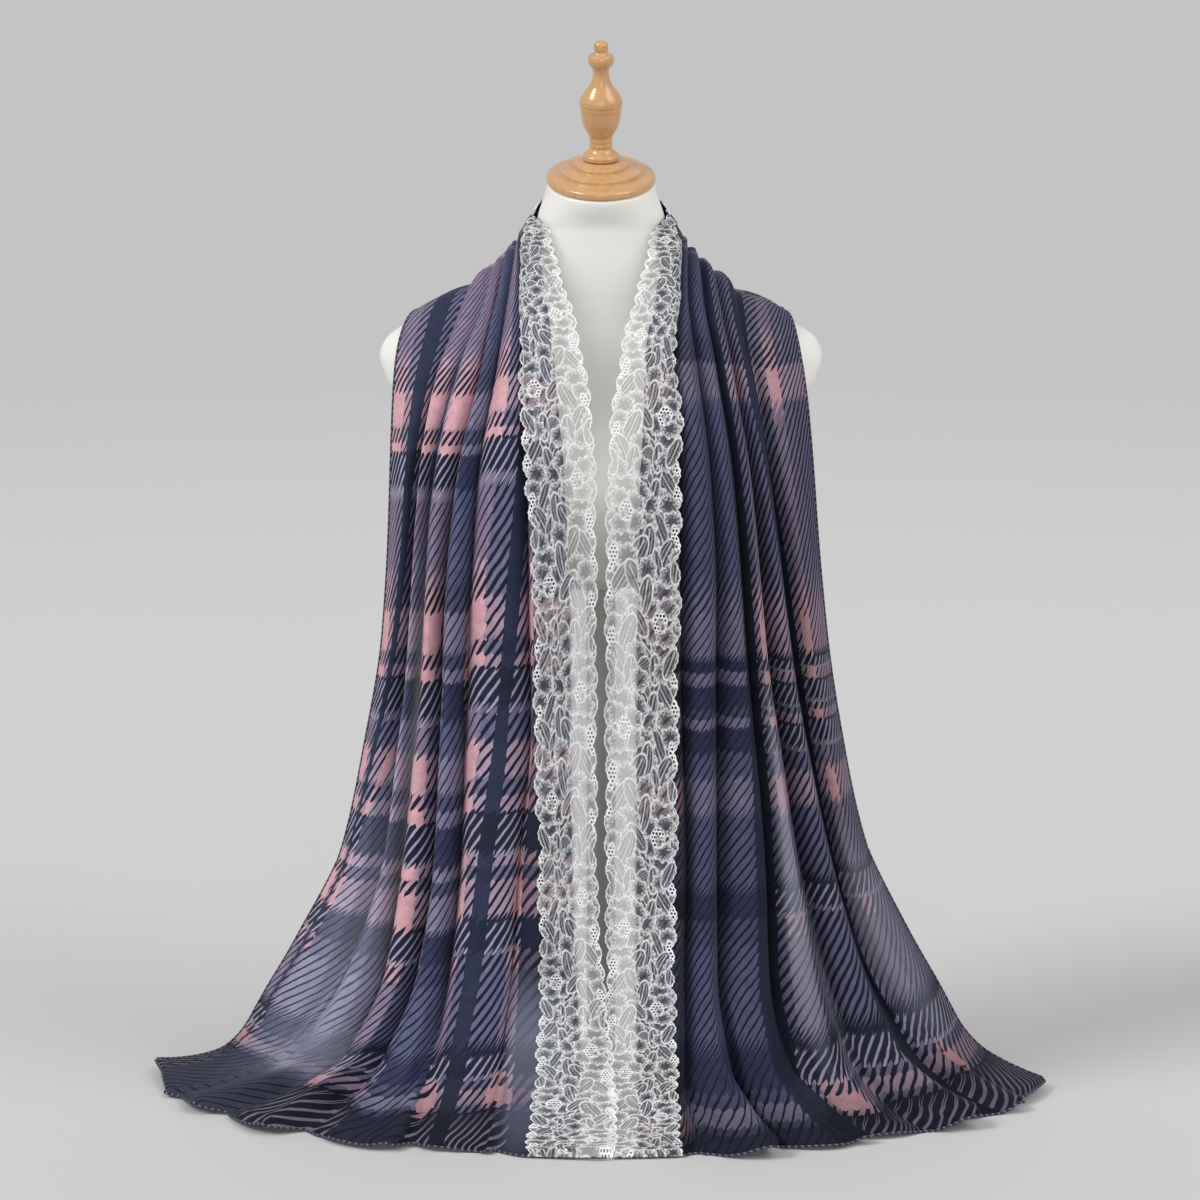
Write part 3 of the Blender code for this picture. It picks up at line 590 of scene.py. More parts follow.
def ring(width, front, back, height, sides):
    """One level section of the form: a squared oval, x = w cos^(2/p), y = d sin^(2/p),
    with its own front and back depths d."""
    angle = np.linspace(0, 2 * math.pi, sides, endpoint=False)
    east, north = np.cos(angle), np.sin(angle)
    x = width * np.sign(east) * np.abs(east) ** (2 / FORM_POWER)
    y = np.sign(north) * np.abs(north) ** (2 / FORM_POWER)
    y = np.where(y < 0, y * front, y * back)
    return np.stack([x, y, np.broadcast_to(height, x.shape)], axis=-1)


def tilted(points):
    """Points given level about the top of the neck, leaned forward with it."""
    lean = np.array([
        [1, 0, 0],
        [0, math.cos(NECK_TILT), -math.sin(NECK_TILT)],
        [0, math.sin(NECK_TILT), math.cos(NECK_TILT)],
    ])
    return points @ lean.T + np.array([0.0, NECK_TOP_Y, NECK_TOP_Z])


def form_section(height):
    """Half width, front and back depth of the form at any height, from its table."""
    heights = [row[0] for row in FORM]
    return [between(heights, [row[part] for row in FORM], height) for part in (1, 2, 3)]


def form_surface(sides, rings, neck_rings):
    """Rings of points up the form: a rounded foot, the table's sections joined by a
    smooth curve, and a blend from the last level section to the neck's leaning top."""
    foot = np.linspace(0, math.pi / 2, FOOT_RINGS + 1)[:-1]
    lowest = FORM[0]
    made = []
    for angle in foot:
        inset = FORM_BOTTOM_ROUND * (1 - math.sin(angle))
        height = lowest[0] + FORM_BOTTOM_ROUND * (1 - math.cos(angle))
        width, front, back = form_section(max(height, lowest[0]))
        made.append(ring(width - inset, front - inset, back - inset, height, sides))
    for height in np.linspace(lowest[0] + FORM_BOTTOM_ROUND, FORM[-1][0], rings):
        made.append(ring(*form_section(height), height, sides))
    depth = NECK_HALF_WIDTH * CAP_DEPTH_RATIO
    top = tilted(ring(NECK_HALF_WIDTH, depth, depth, -CAP_BOTTOM - SEAM, sides))
    last = made[-1]
    for share in np.linspace(0, 1, neck_rings + 1)[1:]:
        bend = ease(share)
        blend = last + (top - last) * bend
        blend[:, 2] = last[:, 2] + (top[:, 2] - last[:, 2]) * share
        made.append(blend)
    return np.array(made)


def clear_of_form(points, gap=WALL / 2 + FORM_GAP):
    """The points, pushed level outwards wherever they come nearer to the form than
    the gap."""
    rings = form_surface(*CLEARING_GRID)
    levels = rings[..., 2].mean(axis=1)
    height = points[..., 2]
    width = np.interp(height, levels, rings[..., 0].max(axis=1))
    front = np.interp(height, levels, -rings[..., 1].min(axis=1))
    back = np.interp(height, levels, rings[..., 1].max(axis=1))
    depth = np.where(points[..., 1] < 0, front, back)
    across_share = np.abs(points[..., 0]) / width
    deep_share = np.abs(points[..., 1]) / depth
    inside = (across_share ** FORM_POWER + deep_share ** FORM_POWER) ** (1 / FORM_POWER)
    far = np.hypot(points[..., 0], points[..., 1])
    wanted = far / np.maximum(inside, 1e-6) + gap
    scale = np.maximum(1.0, wanted / np.maximum(far, 1e-6))
    beside = (height > levels[0]) & (height < levels[-1])
    pushed = points.copy()
    pushed[..., :2] *= np.where(beside, scale, 1.0)[..., None]
    return pushed


def shoulder_height(distance):
    """The height of the form's top line at a distance from its middle."""
    upper = [row for row in FORM if row[0] >= SHOULDER_HEIGHT]
    widths = [row[1] for row in reversed(upper)]
    heights = [row[0] for row in reversed(upper)]
    return np.interp(distance, widths, heights)


# ---------------------------------------------------------------- the cloth's shape

def across_at_top(across, drop, side):
    """The distance from the middle, on the shoulder, of the thread that lies at a
    distance further down."""
    folds = FOLDS[side]
    here = [down(np.array(row[2]) / 1000, drop) for row in folds]
    top = np.array([row[2][0] for row in folds]) / 1000
    result = np.full(np.shape(across), top[0])
    for index in range(len(folds) - 1):
        share = np.clip((across - here[index]) / (here[index + 1] - here[index]), 0, 1)
        result = result + share * (top[index + 1] - top[index])
    lace = np.clip(1 - across / here[0], 0, 1)
    return result - lace * LACE_TUCK


def bell(across, drop, side):
    """The smooth surface that the cloth hangs on: at each share of the drop an oval
    whose half width and front depth come from the drape table, and whose height falls
    in proportion from the shoulder's. across is the distance from the middle."""
    half = drape(1, drop)
    front = drape(2, drop)
    shift = drape(3, drop)
    square = drape(6, drop)
    edge = np.clip((drop - TIP_FROM) / (1 - TIP_FROM), 0, 1)
    reach = np.clip(across / half, 0, WIDEST_REACH)
    oval = (1 - reach ** square) ** (1 / square)
    depth = shift - (front + shift) * oval
    depth = depth + edge ** 2 * TIP_TURN[side] * reach ** TIP_POWER
    top = shoulder_height(across_at_top(across, drop, side)) + WALL / 2 + CLEAR
    left = 1 - drop * drop / (drop + SHOULDER_TURN)
    landing = left ** 3 / (left ** 2 + SOFT_LANDING ** 2)
    height = FLOOR + (top - FLOOR) * landing * (1 + SOFT_LANDING ** 2)
    height = np.where(drop >= 1.0, FLOOR, height)
    return np.stack([side * across, depth, height], axis=-1)


def row_drops():
    """The share of the drop at each row, closer together at both ends."""
    share = np.linspace(0, 1, PANEL_ROWS)[:, None]
    return share - ROW_CROWDING * np.sin(2 * math.pi * share)


def crease_height(side, drop, fold):
    """The sum of the creases: each is a soft ridge or trough, height times
    exp(-(distance from its line / width)^2), that fades in and out along the drop."""
    total = np.zeros(np.broadcast_shapes(drop.shape, fold.shape))
    for line_top, line_low, width, height, start, stop in CREASES[side]:
        share = np.clip((drop - start) / (stop - start), 0, 1)
        line = line_top + (line_low - line_top) * share
        fade = ease((drop - start) / CREASE_IN + 0.5)
        fade = fade * ease((stop - drop) / CREASE_OUT + 0.5)
        total = total + height / 1000 * np.exp(-((fold - line) / width) ** 2) * fade
    return total


def tongues(side, drop, fold, base):
    """How far each point near the hem is moved: a tongue reaches out along the way the
    cloth runs, most at its corner, from where it falls off at once on one side and
    evenly on the other, and it lifts just behind the corner."""
    away = np.gradient(base, axis=0)
    away[..., 2] = 0.0
    away = unit(away)
    near = ease((drop - TONGUE_FROM) / (1 - TONGUE_FROM))
    drawn = ease(fold / TONGUE_BACK_FOLDS) * TONGUE_BACK / 1000
    moved = away * (-drawn * near)[..., None]
    for corner, width, reach, lift in TONGUES[side]:
        share = (fold - corner) / width
        shape = ease(share / TONGUE_STEP + 0.5) * np.clip(1 - share, 0, 1)
        hump = np.exp(-((share - TONGUE_CREST) / TONGUE_STEP) ** 2)
        moved = moved + away * (shape * reach / 1000 * near)[..., None]
        moved[..., 2] += hump * lift / 1000 * near
    return moved


def panel(side):
    """Rows of points down one front, and each column's fold number, which is 0 at the
    lace and grows by 1 at each fold line. A row follows the bell; between two fold
    lines it swells out as a cosine whose height keeps the cloth's width, with its
    sides tucked in by a sine along the row, and the creases are added to it."""
    folds = FOLDS[side]
    drop = row_drops()
    lines = [down(np.array(row[2]) / 1000, drop) for row in folds]
    across, phase, wide, narrow, number = [], [], [], [], []
    for index in range(len(folds) - 1):
        last_fold = index == len(folds) - 2
        steps = np.arange(FOLD_STEPS + last_fold) / FOLD_STEPS
        first = 0.0 if index == 0 else -math.pi
        last = math.pi * (FREE_EDGE_PHASE if last_fold else 1)
        gap = lines[index + 1] - lines[index]
        across.append(lines[index] + gap * steps)
        phase.append(np.broadcast_to(first + (last - first) * steps, across[-1].shape))
        wide.append(np.full(across[-1].shape, folds[index][1]))
        narrow.append(np.broadcast_to(gap * 2 * math.pi / (last - first), across[-1].shape))
        number.append(np.broadcast_to(index + steps, across[-1].shape))
    across, phase, number = np.hstack(across), np.hstack(phase), np.hstack(number)
    wide, narrow = np.hstack(wide), np.hstack(narrow)
    base = bell(across, drop, side)
    out = normals(base) * -side
    out[..., 0] *= 1 - (across / across[:, -1:]) ** 3
    out = unit(out)
    over = unit(np.gradient(base, axis=1))
    tall = np.sqrt(np.maximum(wide ** 2 - narrow ** 2, 0)) / 4
    tall = np.clip(tall, LEAST_FOLD, drape(4, drop))
    tuck = TUCK_GAIN * drape(5, drop) * narrow / (2 * math.pi) * np.sin(phase)
    rise = tall * (1 + np.cos(phase))
    sink = np.clip(1 - np.abs(drop - 0.5) / SINK_SPAN, 0, 1) * tall
    crease = crease_height(side, drop, number)
    points = base + over * tuck[..., None] + out * (rise - sink + crease)[..., None]
    points = points + tongues(side, drop, number, base)
    points[..., 2] = np.maximum(points[..., 2], FLOOR)
    points[1:] = clear_of_form(points[1:])
    return points, number


def ground_of_lace(points, side):
    """Rows of points across the lace's own ground, from the panel's first thread to
    the lace's inner line, which hangs on the same bell."""
    drop = row_drops()
    line = down(np.array(LACE_LINE[side]) / 1000, drop)
    start = side * points[:, :1, 0]
    steps = np.linspace(0, 1, GROUND_COLUMNS)[None, :]
    across = start + (line - start) * steps
    base = bell(across, drop, side)
    out = normals(base) * side
    first = ((points[:, 0] - base[:, 0]) * out[:, 0]).sum(axis=-1)[:, None]
    away = LACE_AWAY[side] * np.minimum(1, drop / LACE_AWAY_FROM) + CLEAR
    lift = first + (away - first) * ease(steps)
    strip = base + out * lift[..., None]
    strip[:, 0] = points[:, 0]
    strip[..., 2] += LACE_RISE * steps * np.clip(1 - drop / NECK_PART, 0, 1)
    strip[..., 2] = np.maximum(strip[..., 2], FLOOR)
    return clear_of_form(strip)


# ---------------------------------------------------------------- cloth coordinates

def straight_level(points):
    """For each point, the height that its place on the thread would have if the cloth
    hung straight down below LEVEL_START: negative near a hem that lies on the floor."""
    travelled = arc_length(points, 0)
    columns = range(points.shape[1])
    start = [np.interp(-LEVEL_START, -points[:, c, 2], travelled[:, c]) for c in columns]
    return LEVEL_START + np.array(start)[None, :] - travelled


def index_between(value, edges):
    """How many edges lie below the value, plus the share of the way to the next one.
    edges holds an array for each edge, in rising order."""
    total = np.zeros(np.broadcast_shapes(value.shape, edges[0].shape))
    for low, high in zip(edges[:-1], edges[1:]):
        total = total + np.clip((value - low) / np.maximum(high - low, 1e-6), 0, 1)
    return total


def stripe_number(fold, level, side):
    """The lengthwise stripe that a point lies in, as a number from 0 to 1 over all the
    stripes. Each stripe's edge drifts between its fold numbers at the stripe levels."""
    edges = [np.interp(level, STRIPE_LEVELS, row[1]) for row in STRIPES[side]]
    edges.append(np.full(level.shape, FOLD_END))
    return index_between(fold, edges) / len(STRIPES[side])


def band_number(level, fold, side):
    """The crosswise band that a point lies in, as a number from 0 to 1 over all the
    bands. The bands ride a little higher in the folds beside the lace."""
    beside = 1 - ease((fold - LACE_SIDE_END) / LACE_SIDE_SPAN)
    lowered = level - LACE_SIDE_RISE[side] * beside
    edges = [np.full(level.shape, row[1]) for row in BANDS[side]]
    edges.append(np.full(level.shape, BAND_END))
    return index_between(lowered, edges) / len(BANDS[side])


# ---------------------------------------------------------------- mesh building

def grid_faces(rows, columns, wrap):
    """Four-sided faces between neighbouring points of a grid. With wrap, the last
    column joins the first."""
    index = np.arange(rows * columns).reshape(rows, columns)
    if wrap:
        index = np.hstack([index, index[:, :1]])
    corners = (index[:-1, :-1], index[:-1, 1:], index[1:, 1:], index[1:, :-1])
    return np.stack([corner.ravel() for corner in corners], axis=1)


def make_piece(name, points, finish, outward, maps=None, values=None, closed=False):
    """A smooth-shaded mesh over a grid of points. maps are UV layers and values are
    single numbers, one for each point. outward is a direction or a grid of directions
    that the faces should point along. A closed grid is a tube: its last column joins
    the first, and a flat face closes each end."""
    rows, columns = points.shape[:2]
    faces = grid_faces(rows, columns, closed)
    vertices = points.reshape(-1, 3)
    across = vertices[faces[:, 2]] - vertices[faces[:, 0]]
    other = vertices[faces[:, 3]] - vertices[faces[:, 1]]
    wanted = np.broadcast_to(outward, points.shape).reshape(-1, 3)[faces[:, 0]]
    if (np.cross(across, other) * wanted).sum() < 0:
        faces = faces[:, ::-1]
    mesh = bpy.data.meshes.new(name)
    loops = [faces.ravel()]
    starts = np.arange(len(faces)) * 4
    if closed:
        first = np.arange(columns)
        last = np.arange((rows - 1) * columns, rows * columns)
        turned_over = faces[0, 1] != 1
        loops += [first, last[::-1]] if turned_over else [first[::-1], last]
        starts = np.concatenate([starts, [len(faces) * 4, len(faces) * 4 + columns]])
    loops = np.concatenate(loops).astype(np.int32)
    mesh.vertices.add(len(vertices))
    mesh.vertices.foreach_set("co", vertices.astype(np.float32).ravel())
    mesh.loops.add(len(loops))
    mesh.loops.foreach_set("vertex_index", loops)
    mesh.polygons.add(len(starts))
    mesh.polygons.foreach_set("loop_start", starts.astype(np.int32))
    mesh.update(calc_edges=True)
    mesh.validate()
    for label, layer in (maps or {}).items():
        uv = mesh.uv_layers.new(name=label)
        flat = np.asarray(layer, np.float32).reshape(-1, 2)
        uv.data.foreach_set("uv", flat[loops].ravel())
    for label, layer in (values or {}).items():
        attribute = mesh.attributes.new(label, "FLOAT", "POINT")
        attribute.data.foreach_set("value", np.asarray(layer, np.float32).ravel())
    mesh.shade_smooth()
    mesh.materials.append(finish)
    piece = bpy.data.objects.new(name, mesh)
    bpy.context.scene.collection.objects.link(piece)
    return piece


def tube(name, path, radius, finish):
    """A round tube carried along a path of points: a circle in the plane across the
    path's direction, closed by a flat face at each end."""
    along = unit(np.gradient(path, axis=0))
    up = np.where(np.abs(along[:, 2:]) > 0.9, [[0.0, -1.0, 0.0]], [[0.0, 0.0, 1.0]])
    first = unit(np.cross(along, up))
    second = np.cross(first, along)
    angle = np.linspace(0, 2 * math.pi, HEM_SIDES, endpoint=False)
    circle = first[:, None] * np.cos(angle)[None, :, None]
    circle = circle + second[:, None] * np.sin(angle)[None, :, None]
    points = path[:, None] + circle * radius
    travelled = arc_length(path[:, None], 0)
    around = np.broadcast_to(angle / (2 * math.pi), (len(path), HEM_SIDES))
    layer = np.stack([np.broadcast_to(travelled, around.shape), around], axis=-1)
    return make_piece(name, points, finish, circle, {"UVMap": layer}, closed=True)


# ---------------------------------------------------------------- materials

def linear(red, green, blue, alpha=1.0):
    """A screen colour of 0 to 255 as the linear values that shaders use, and its alpha."""
    value = np.array([red, green, blue]) / 255
    value = np.where(value <= 0.04045, value / 12.92, ((value + 0.055) / 1.055) ** 2.4)
    return (*(float(part) for part in value), alpha)


class Nodes:
    """Short ways to add and join the nodes of one node tree."""

    def __init__(self, tree):
        self.tree = tree

    def put(self, value, socket):
        """A number, a colour or another node's output goes into a socket."""
        if isinstance(value, bpy.types.NodeSocket):
            self.tree.links.new(value, socket)
        else:
            socket.default_value = value

    def add(self, kind, inputs, **settings):
        """A new shader node with its settings and inputs filled in; gives its outputs."""
        node = self.tree.nodes.new("ShaderNode" + kind)
        for label, value in settings.items():
            setattr(node, label, value)
        for label, value in inputs.items():
            self.put(value, node.inputs[label])
        return node.outputs

    def math(self, operation, *values, clamp=False):
        return self.add("Math", dict(enumerate(values)), operation=operation,
                        use_clamp=clamp)[0]

    def mix(self, share, first, second):
        return self.add("Mix", {0: share, 6: first, 7: second}, data_type="RGBA")[2]

    def blend(self, share, first, second):
        """The number first, passing to second as the share goes from 0 to 1."""
        return self.add("Mix", {0: share, 2: first, 3: second}, data_type="FLOAT")[0]

    def noise(self, vector, scale, detail=3.0, roughness=0.55):
        return self.add("TexNoise", {"Vector": vector, "Scale": scale, "Detail": detail,
                                     "Roughness": roughness})["Fac"]

    def uv(self, layer):
        return self.add("UVMap", {}, uv_map=layer)[0]

    def parts(self, vector):
        return self.add("SeparateXYZ", {0: vector})

    def value(self, label):
        return self.add("Attribute", {}, attribute_name=label)["Fac"]

    def steps(self, position, colours):
        """A ramp from 0 to 1 with a step of equal length for each colour."""
        node = self.tree.nodes.new("ShaderNodeValToRGB")
        node.color_ramp.interpolation = "CONSTANT"
        elements = node.color_ramp.elements
        while len(elements) < len(colours):
            elements.new(1.0)
        for index, element in enumerate(elements):
            element.position = index / len(colours)
        for element, colour in zip(elements, colours):
            element.color = colour
        self.put(position, node.inputs["Fac"])
        return node.outputs

    def group(self, made, **inputs):
        return self.add("Group", inputs, node_tree=made)

    def relief(self, shader, height, strength, distance):
        """The height, raised over a distance in metres, bends the shader's normal."""
        bump = self.add("Bump", {"Strength": strength, "Distance": distance,
                                 "Height": height})
        self.put(bump[0], shader["Normal"])


def new_group(name, inputs, *outputs):
    """A shader node group whose outputs are numbers. inputs name its sockets with their
    first values, or None for a vector."""
    tree = bpy.data.node_groups.new(name, "ShaderNodeTree")
    for label, value in inputs.items():
        kind = "NodeSocketVector" if value is None else "NodeSocketFloat"
        socket = tree.interface.new_socket(name=label, in_out="INPUT", socket_type=kind)
        if value is not None:
            socket.default_value = value
    for label in outputs:
        tree.interface.new_socket(name=label, in_out="OUTPUT",
                                  socket_type="NodeSocketFloat")
    given = tree.nodes.new("NodeGroupInput").outputs
    return Nodes(tree), given, tree.nodes.new("NodeGroupOutput").inputs


def new_material(name, colour, roughness, **constants):
    """A Principled material with its plain settings, its nodes and its shader's inputs."""
    made = bpy.data.materials.new(name)
    made.use_nodes = True
    shader = made.node_tree.nodes["Principled BSDF"].inputs
    shader["Base Color"].default_value = colour
    shader["Roughness"].default_value = roughness
    for label, value in constants.items():
        shader[label.replace("_", " ")].default_value = value
    return made, Nodes(made.node_tree), shader


def weave_group():
    """A plain weave on a UV map in metres: two sets of threads, Pitch apart, each a
    sine ridge, with slubs from noise. Height is the relief and Tone the slubs' tone."""
    nodes, given, made = new_group(
        "weave", {"Place": None, "Pitch": 0.0006, "Slub": 0.3}, "Height", "Tone")
    place = nodes.parts(given["Place"])
    ridges = []
    for axis in (0, 1):
        turns = nodes.math("DIVIDE", place[axis], given["Pitch"])
        wave = nodes.math("SINE", nodes.math("MULTIPLY", turns, 2 * math.pi))
        ridges.append(nodes.math("MULTIPLY_ADD", wave, 0.5, 0.5))
    tone = nodes.noise(given["Place"], scale=900.0, detail=1.0)
    slub = nodes.math("MULTIPLY", tone, given["Slub"])
    nodes.put(nodes.math("ADD", nodes.math("MAXIMUM", *ridges), slub), made["Height"])
    nodes.put(tone, made["Tone"])
    return nodes.tree


def twill_group():
    """Diagonal stripes on the thread map: the distance along the thread plus Slope
    times the distance across it, divided by Pitch, waved a little by noise. Peak runs
    from 0 in the middle of a gap to 1 in the middle of a line."""
    nodes, given, made = new_group(
        "twill", {"Place": None, "Pitch": 0.009, "Slope": 1.0}, "Peak")
    place = nodes.parts(given["Place"])
    uneven = nodes.noise(given["Place"], scale=55.0, detail=2.0)
    waver = nodes.math("MULTIPLY", uneven, LINE_WAVER)
    lean = nodes.math("MULTIPLY", place[0], given["Slope"])
    total = nodes.math("ADD", nodes.math("ADD", place[1], lean), waver)
    turn = nodes.math("FRACT", nodes.math("DIVIDE", total, given["Pitch"]))
    centred = nodes.math("ABSOLUTE", nodes.math("SUBTRACT", turn, 0.5))
    nodes.put(nodes.math("MULTIPLY", centred, 2.0), made["Peak"])
    return nodes.tree


def mesh_group():
    """Open mesh on a UV map in metres: rows of oval holes, each row shifted by half a
    hole from the last. Hole is 1 inside a hole."""
    nodes, given, made = new_group(
        "open_mesh", {"Place": None, "Pitch": 0.0028, "Size": 0.3}, "Hole")
    place = nodes.parts(given["Place"])
    tall = nodes.math("MULTIPLY", given["Pitch"], MESH_ROW_SHARE)
    row = nodes.math("DIVIDE", place[1], tall)
    odd = nodes.math("FLOORED_MODULO", nodes.math("FLOOR", row), 2.0)
    column = nodes.math("DIVIDE", place[0], given["Pitch"])
    column = nodes.math("MULTIPLY_ADD", odd, 0.5, column)
    x, y = (nodes.math("SUBTRACT", nodes.math("FRACT", cell), 0.5)
            for cell in (column, row))
    square = nodes.math("ADD", nodes.math("MULTIPLY", x, x), nodes.math("MULTIPLY", y, y))
    past = nodes.math("SUBTRACT", given["Size"], nodes.math("SQRT", square))
    nodes.put(nodes.math("MULTIPLY_ADD", past, EDGE_SHARPNESS, 0.5, clamp=True), made["Hole"])
    return nodes.tree


def plaid_material(side, groups):
    """The printed chiffon: the stripe and the band under a point choose a ground colour
    and how wide the diagonal lines on it are, and the diagonals also push the edges
    of stripes and bands into teeth. Thin places let the light through. The colour
    also carries painted shade: darker towards the hem, darker on the wearer's left
    front, a tint of shade from behind in thin places, and a grey for the edge under
    the lace."""
    made, nodes, shader = new_material(
        "plaid_" + WEARER[side], (0.1, 0.1, 0.2, 1.0), 0.72, Sheen_Weight=0.04,
        Sheen_Roughness=0.4, Specular_IOR_Level=0.12)
    thread = nodes.uv("UVMap")
    place = nodes.parts(nodes.uv("plaid"))
    peak = nodes.group(groups["twill"], Place=thread, Pitch=LINE_PITCH[side],
                       Slope=-side * LINE_SLOPE[side])["Peak"]
    edge = nodes.math("SUBTRACT", peak, 0.5)
    stripes = [row[0] for row in STRIPES[side]]
    bands = [row[0] for row in BANDS[side]]
    across = nodes.math("MULTIPLY_ADD", edge, STRIPE_TOOTH / len(stripes), place[0])
    along = nodes.math("MULTIPLY_ADD", edge, BAND_TOOTH / len(bands), place[1])

    # The ramp of bands gives red for rose, green for navy and blue for barred.
    kind = nodes.steps(along, [BAND_MASKS[band] for band in bands])["Color"]
    kind = nodes.add("SeparateColor", {0: kind})
    ramps = [nodes.steps(across, [linear(*INK[ink][band]) for ink in stripes])
             for band in BAND_MASKS]
    ground, duty = ramps[0]["Color"], ramps[0]["Alpha"]
    for mask, ramp in zip(kind, ramps[1:]):
        ground = nodes.mix(mask, ground, ramp["Color"])
        duty = nodes.blend(mask, duty, ramp["Alpha"])

    # The diagonal lines, pale on navy in some stripes and dark elsewhere.
    lined = [(*[float(ink in PALE_LINED)] * 3, 1) for ink in stripes]
    pale = nodes.math("MULTIPLY", kind[1], nodes.steps(across, lined)["Color"])
    line = nodes.mix(pale, linear(*LINE_DARK), linear(*LINE_PALE))
    past = nodes.math("SUBTRACT", peak, nodes.math("SUBTRACT", 1.0, duty))
    mask = nodes.math("MULTIPLY_ADD", past, EDGE_SHARPNESS, 0.5, clamp=True)
    mask = nodes.math("MULTIPLY", mask, nodes.math("GREATER_THAN", duty, LEAST_DUTY))
    colour = nodes.mix(mask, ground, line)

    weave = nodes.group(groups["weave"], Place=thread, Pitch=CHIFFON_PITCH, Slub=0.6)
    cloudy = nodes.noise(thread, scale=90.0, detail=4.0, roughness=0.75)
    # Random cloudy blotches and slubs, times painted shade that darkens the cloth towards the
    # hem and on the wearer's left front.
    tone_and_painted_shade = nodes.math("MULTIPLY_ADD", cloudy, *CLOUDS)
    hem = nodes.math("MULTIPLY_ADD", place[1], *HEM_PAINTED_SHADE, clamp=True)
    tone_and_painted_shade = nodes.math("MULTIPLY", tone_and_painted_shade, nodes.math("MULTIPLY", hem, SIDE_PAINTED_SHADE[side]))
    slubs = nodes.math("MULTIPLY_ADD", weave["Tone"], *SLUBS)
    tone_and_painted_shade = nodes.math("MULTIPLY", tone_and_painted_shade, slubs)
    toned = nodes.add("VectorMath", {0: colour, "Scale": tone_and_painted_shade}, operation="SCALE")[0]

    # Thin places take a tint that stands for the thin layer with painted shade from behind it;
    # the sheerest, the edge under the lace, take a grey of painted shade.
    sheer_and_shade = nodes.value("sheer_and_shade")
    beyond = nodes.math("SUBTRACT", sheer_and_shade, EDGE_PAINTED_SHADE_FROM, clamp=True)
    tint_and_shade = nodes.mix(beyond, linear(*VEIL_TINT_AND_SHADE), linear(*EDGE_PAINTED_SHADE))
    share = nodes.math("MULTIPLY", sheer_and_shade, VEIL_SHARE, clamp=True)
    nodes.put(nodes.mix(share, toned, tint_and_shade), shader["Base Color"])
    alpha = nodes.math("MULTIPLY_ADD", sheer_and_shade, SHEER_ALPHA - 1, 1.0, clamp=True)
    nodes.put(alpha, shader["Alpha"])
    relief = nodes.math("MULTIPLY_ADD", mask, 0.8, weave["Height"])
    nodes.relief(shader, relief, strength=0.35, distance=0.0004)
    return made


def lace_material(groups):
    """White lace. Cover runs from the bare net at 0 to a full cord at 1, and mesh marks
    the motifs that are worked as an open mesh with holes."""
    made, nodes, shader = new_material("white_lace", linear(244, 245, 246), 0.85,
                                       Specular_IOR_Level=0.2)
    place = nodes.uv("UVMap")
    cover, mesh = nodes.value("cover"), nodes.value("mesh")
    net, hole = (nodes.group(groups["mesh"], Place=place, Pitch=pitch, Size=size)["Hole"]
                 for pitch, size in (NET, WORKED_MESH))
    bare = nodes.math("MULTIPLY_ADD", net, NET_HOLE_ALPHA, NET_ALPHA)
    solid = nodes.blend(cover, bare, 1.0)
    open_part = nodes.math("MULTIPLY", nodes.math("GREATER_THAN", mesh, 0.5), hole)
    nodes.put(nodes.math("SUBTRACT", solid, open_part, clamp=True), shader["Alpha"])
    nodes.put(nodes.mix(cover, linear(236, 238, 240), linear(253, 253, 252)),
              shader["Base Color"])
    nodes.relief(shader, nodes.noise(place, scale=1300.0, detail=1.0),
                 strength=0.4, distance=0.0003)
    return made


def cover_material():
    """The form's smooth stretched cover: off-white, faintly glossy."""
    made, nodes, shader = new_material("form_cover", linear(234, 232, 226), 0.42,
                                       Specular_IOR_Level=0.4, Coat_Weight=0.15,
                                       Coat_Roughness=0.25)
    place = nodes.add("TexCoord", {})["Object"]
    nodes.relief(shader, nodes.noise(place, scale=700.0), strength=0.08, distance=0.0002)
    return made


def wood_material():
    """Glossy moulded wood look: warm tan with faint upright grain."""
    made, nodes, shader = new_material("wood_look", linear(200, 146, 95), 0.30,
                                       Coat_Weight=0.5, Coat_Roughness=0.12)
    place = nodes.add("TexCoord", {})["Object"]
    stretched = nodes.add("Mapping", {"Vector": place, "Scale": (260.0, 260.0, 22.0)})[0]
    grain = nodes.noise(stretched, scale=1.0, detail=4.0)
    nodes.put(nodes.mix(grain, linear(182, 130, 80), linear(212, 168, 114)),
              shader["Base Color"])
    return made


def hem_material():
    """The rolled hem's overlocked thread: turns of dark and pale thread along it."""
    made, nodes, shader = new_material("hem_thread", (0.1, 0.1, 0.15, 1.0), 0.8)
    place = nodes.parts(nodes.uv("UVMap"))
    turn = nodes.math("DIVIDE", place[0], OVERLOCK_TURN)
    turn = nodes.math("FRACT", nodes.math("MULTIPLY_ADD", place[1], OVERLOCK_LEAN, turn))
    pale = nodes.math("GREATER_THAN", turn, OVERLOCK_DARK)
    nodes.put(nodes.mix(pale, linear(34, 33, 50), linear(104, 98, 118)),
              shader["Base Color"])
    return made


# ---------------------------------------------------------------- the cloth

def with_edge(points, number, ground, reach):
    """The cloth's grid with more columns before its first: the edge that runs under
    the lace, over a share of the lace's ground that reach gives for each row. Their
    fold numbers fall below 0."""
    size = (len(points), EDGE_COLUMNS)
    steps = np.arange(EDGE_COLUMNS, 0, -1)[None, :] / EDGE_COLUMNS
    rows = np.broadcast_to(np.arange(len(points))[:, None], size)
    under = sample(ground, rows, steps * (GROUND_COLUMNS - 1) * reach[:, None])
    fold = [np.broadcast_to(-steps * EDGE_FOLDS, size),
            np.broadcast_to(number, points.shape[:2])]
    return np.concatenate([under, points], axis=1), np.concatenate(fold, axis=1)


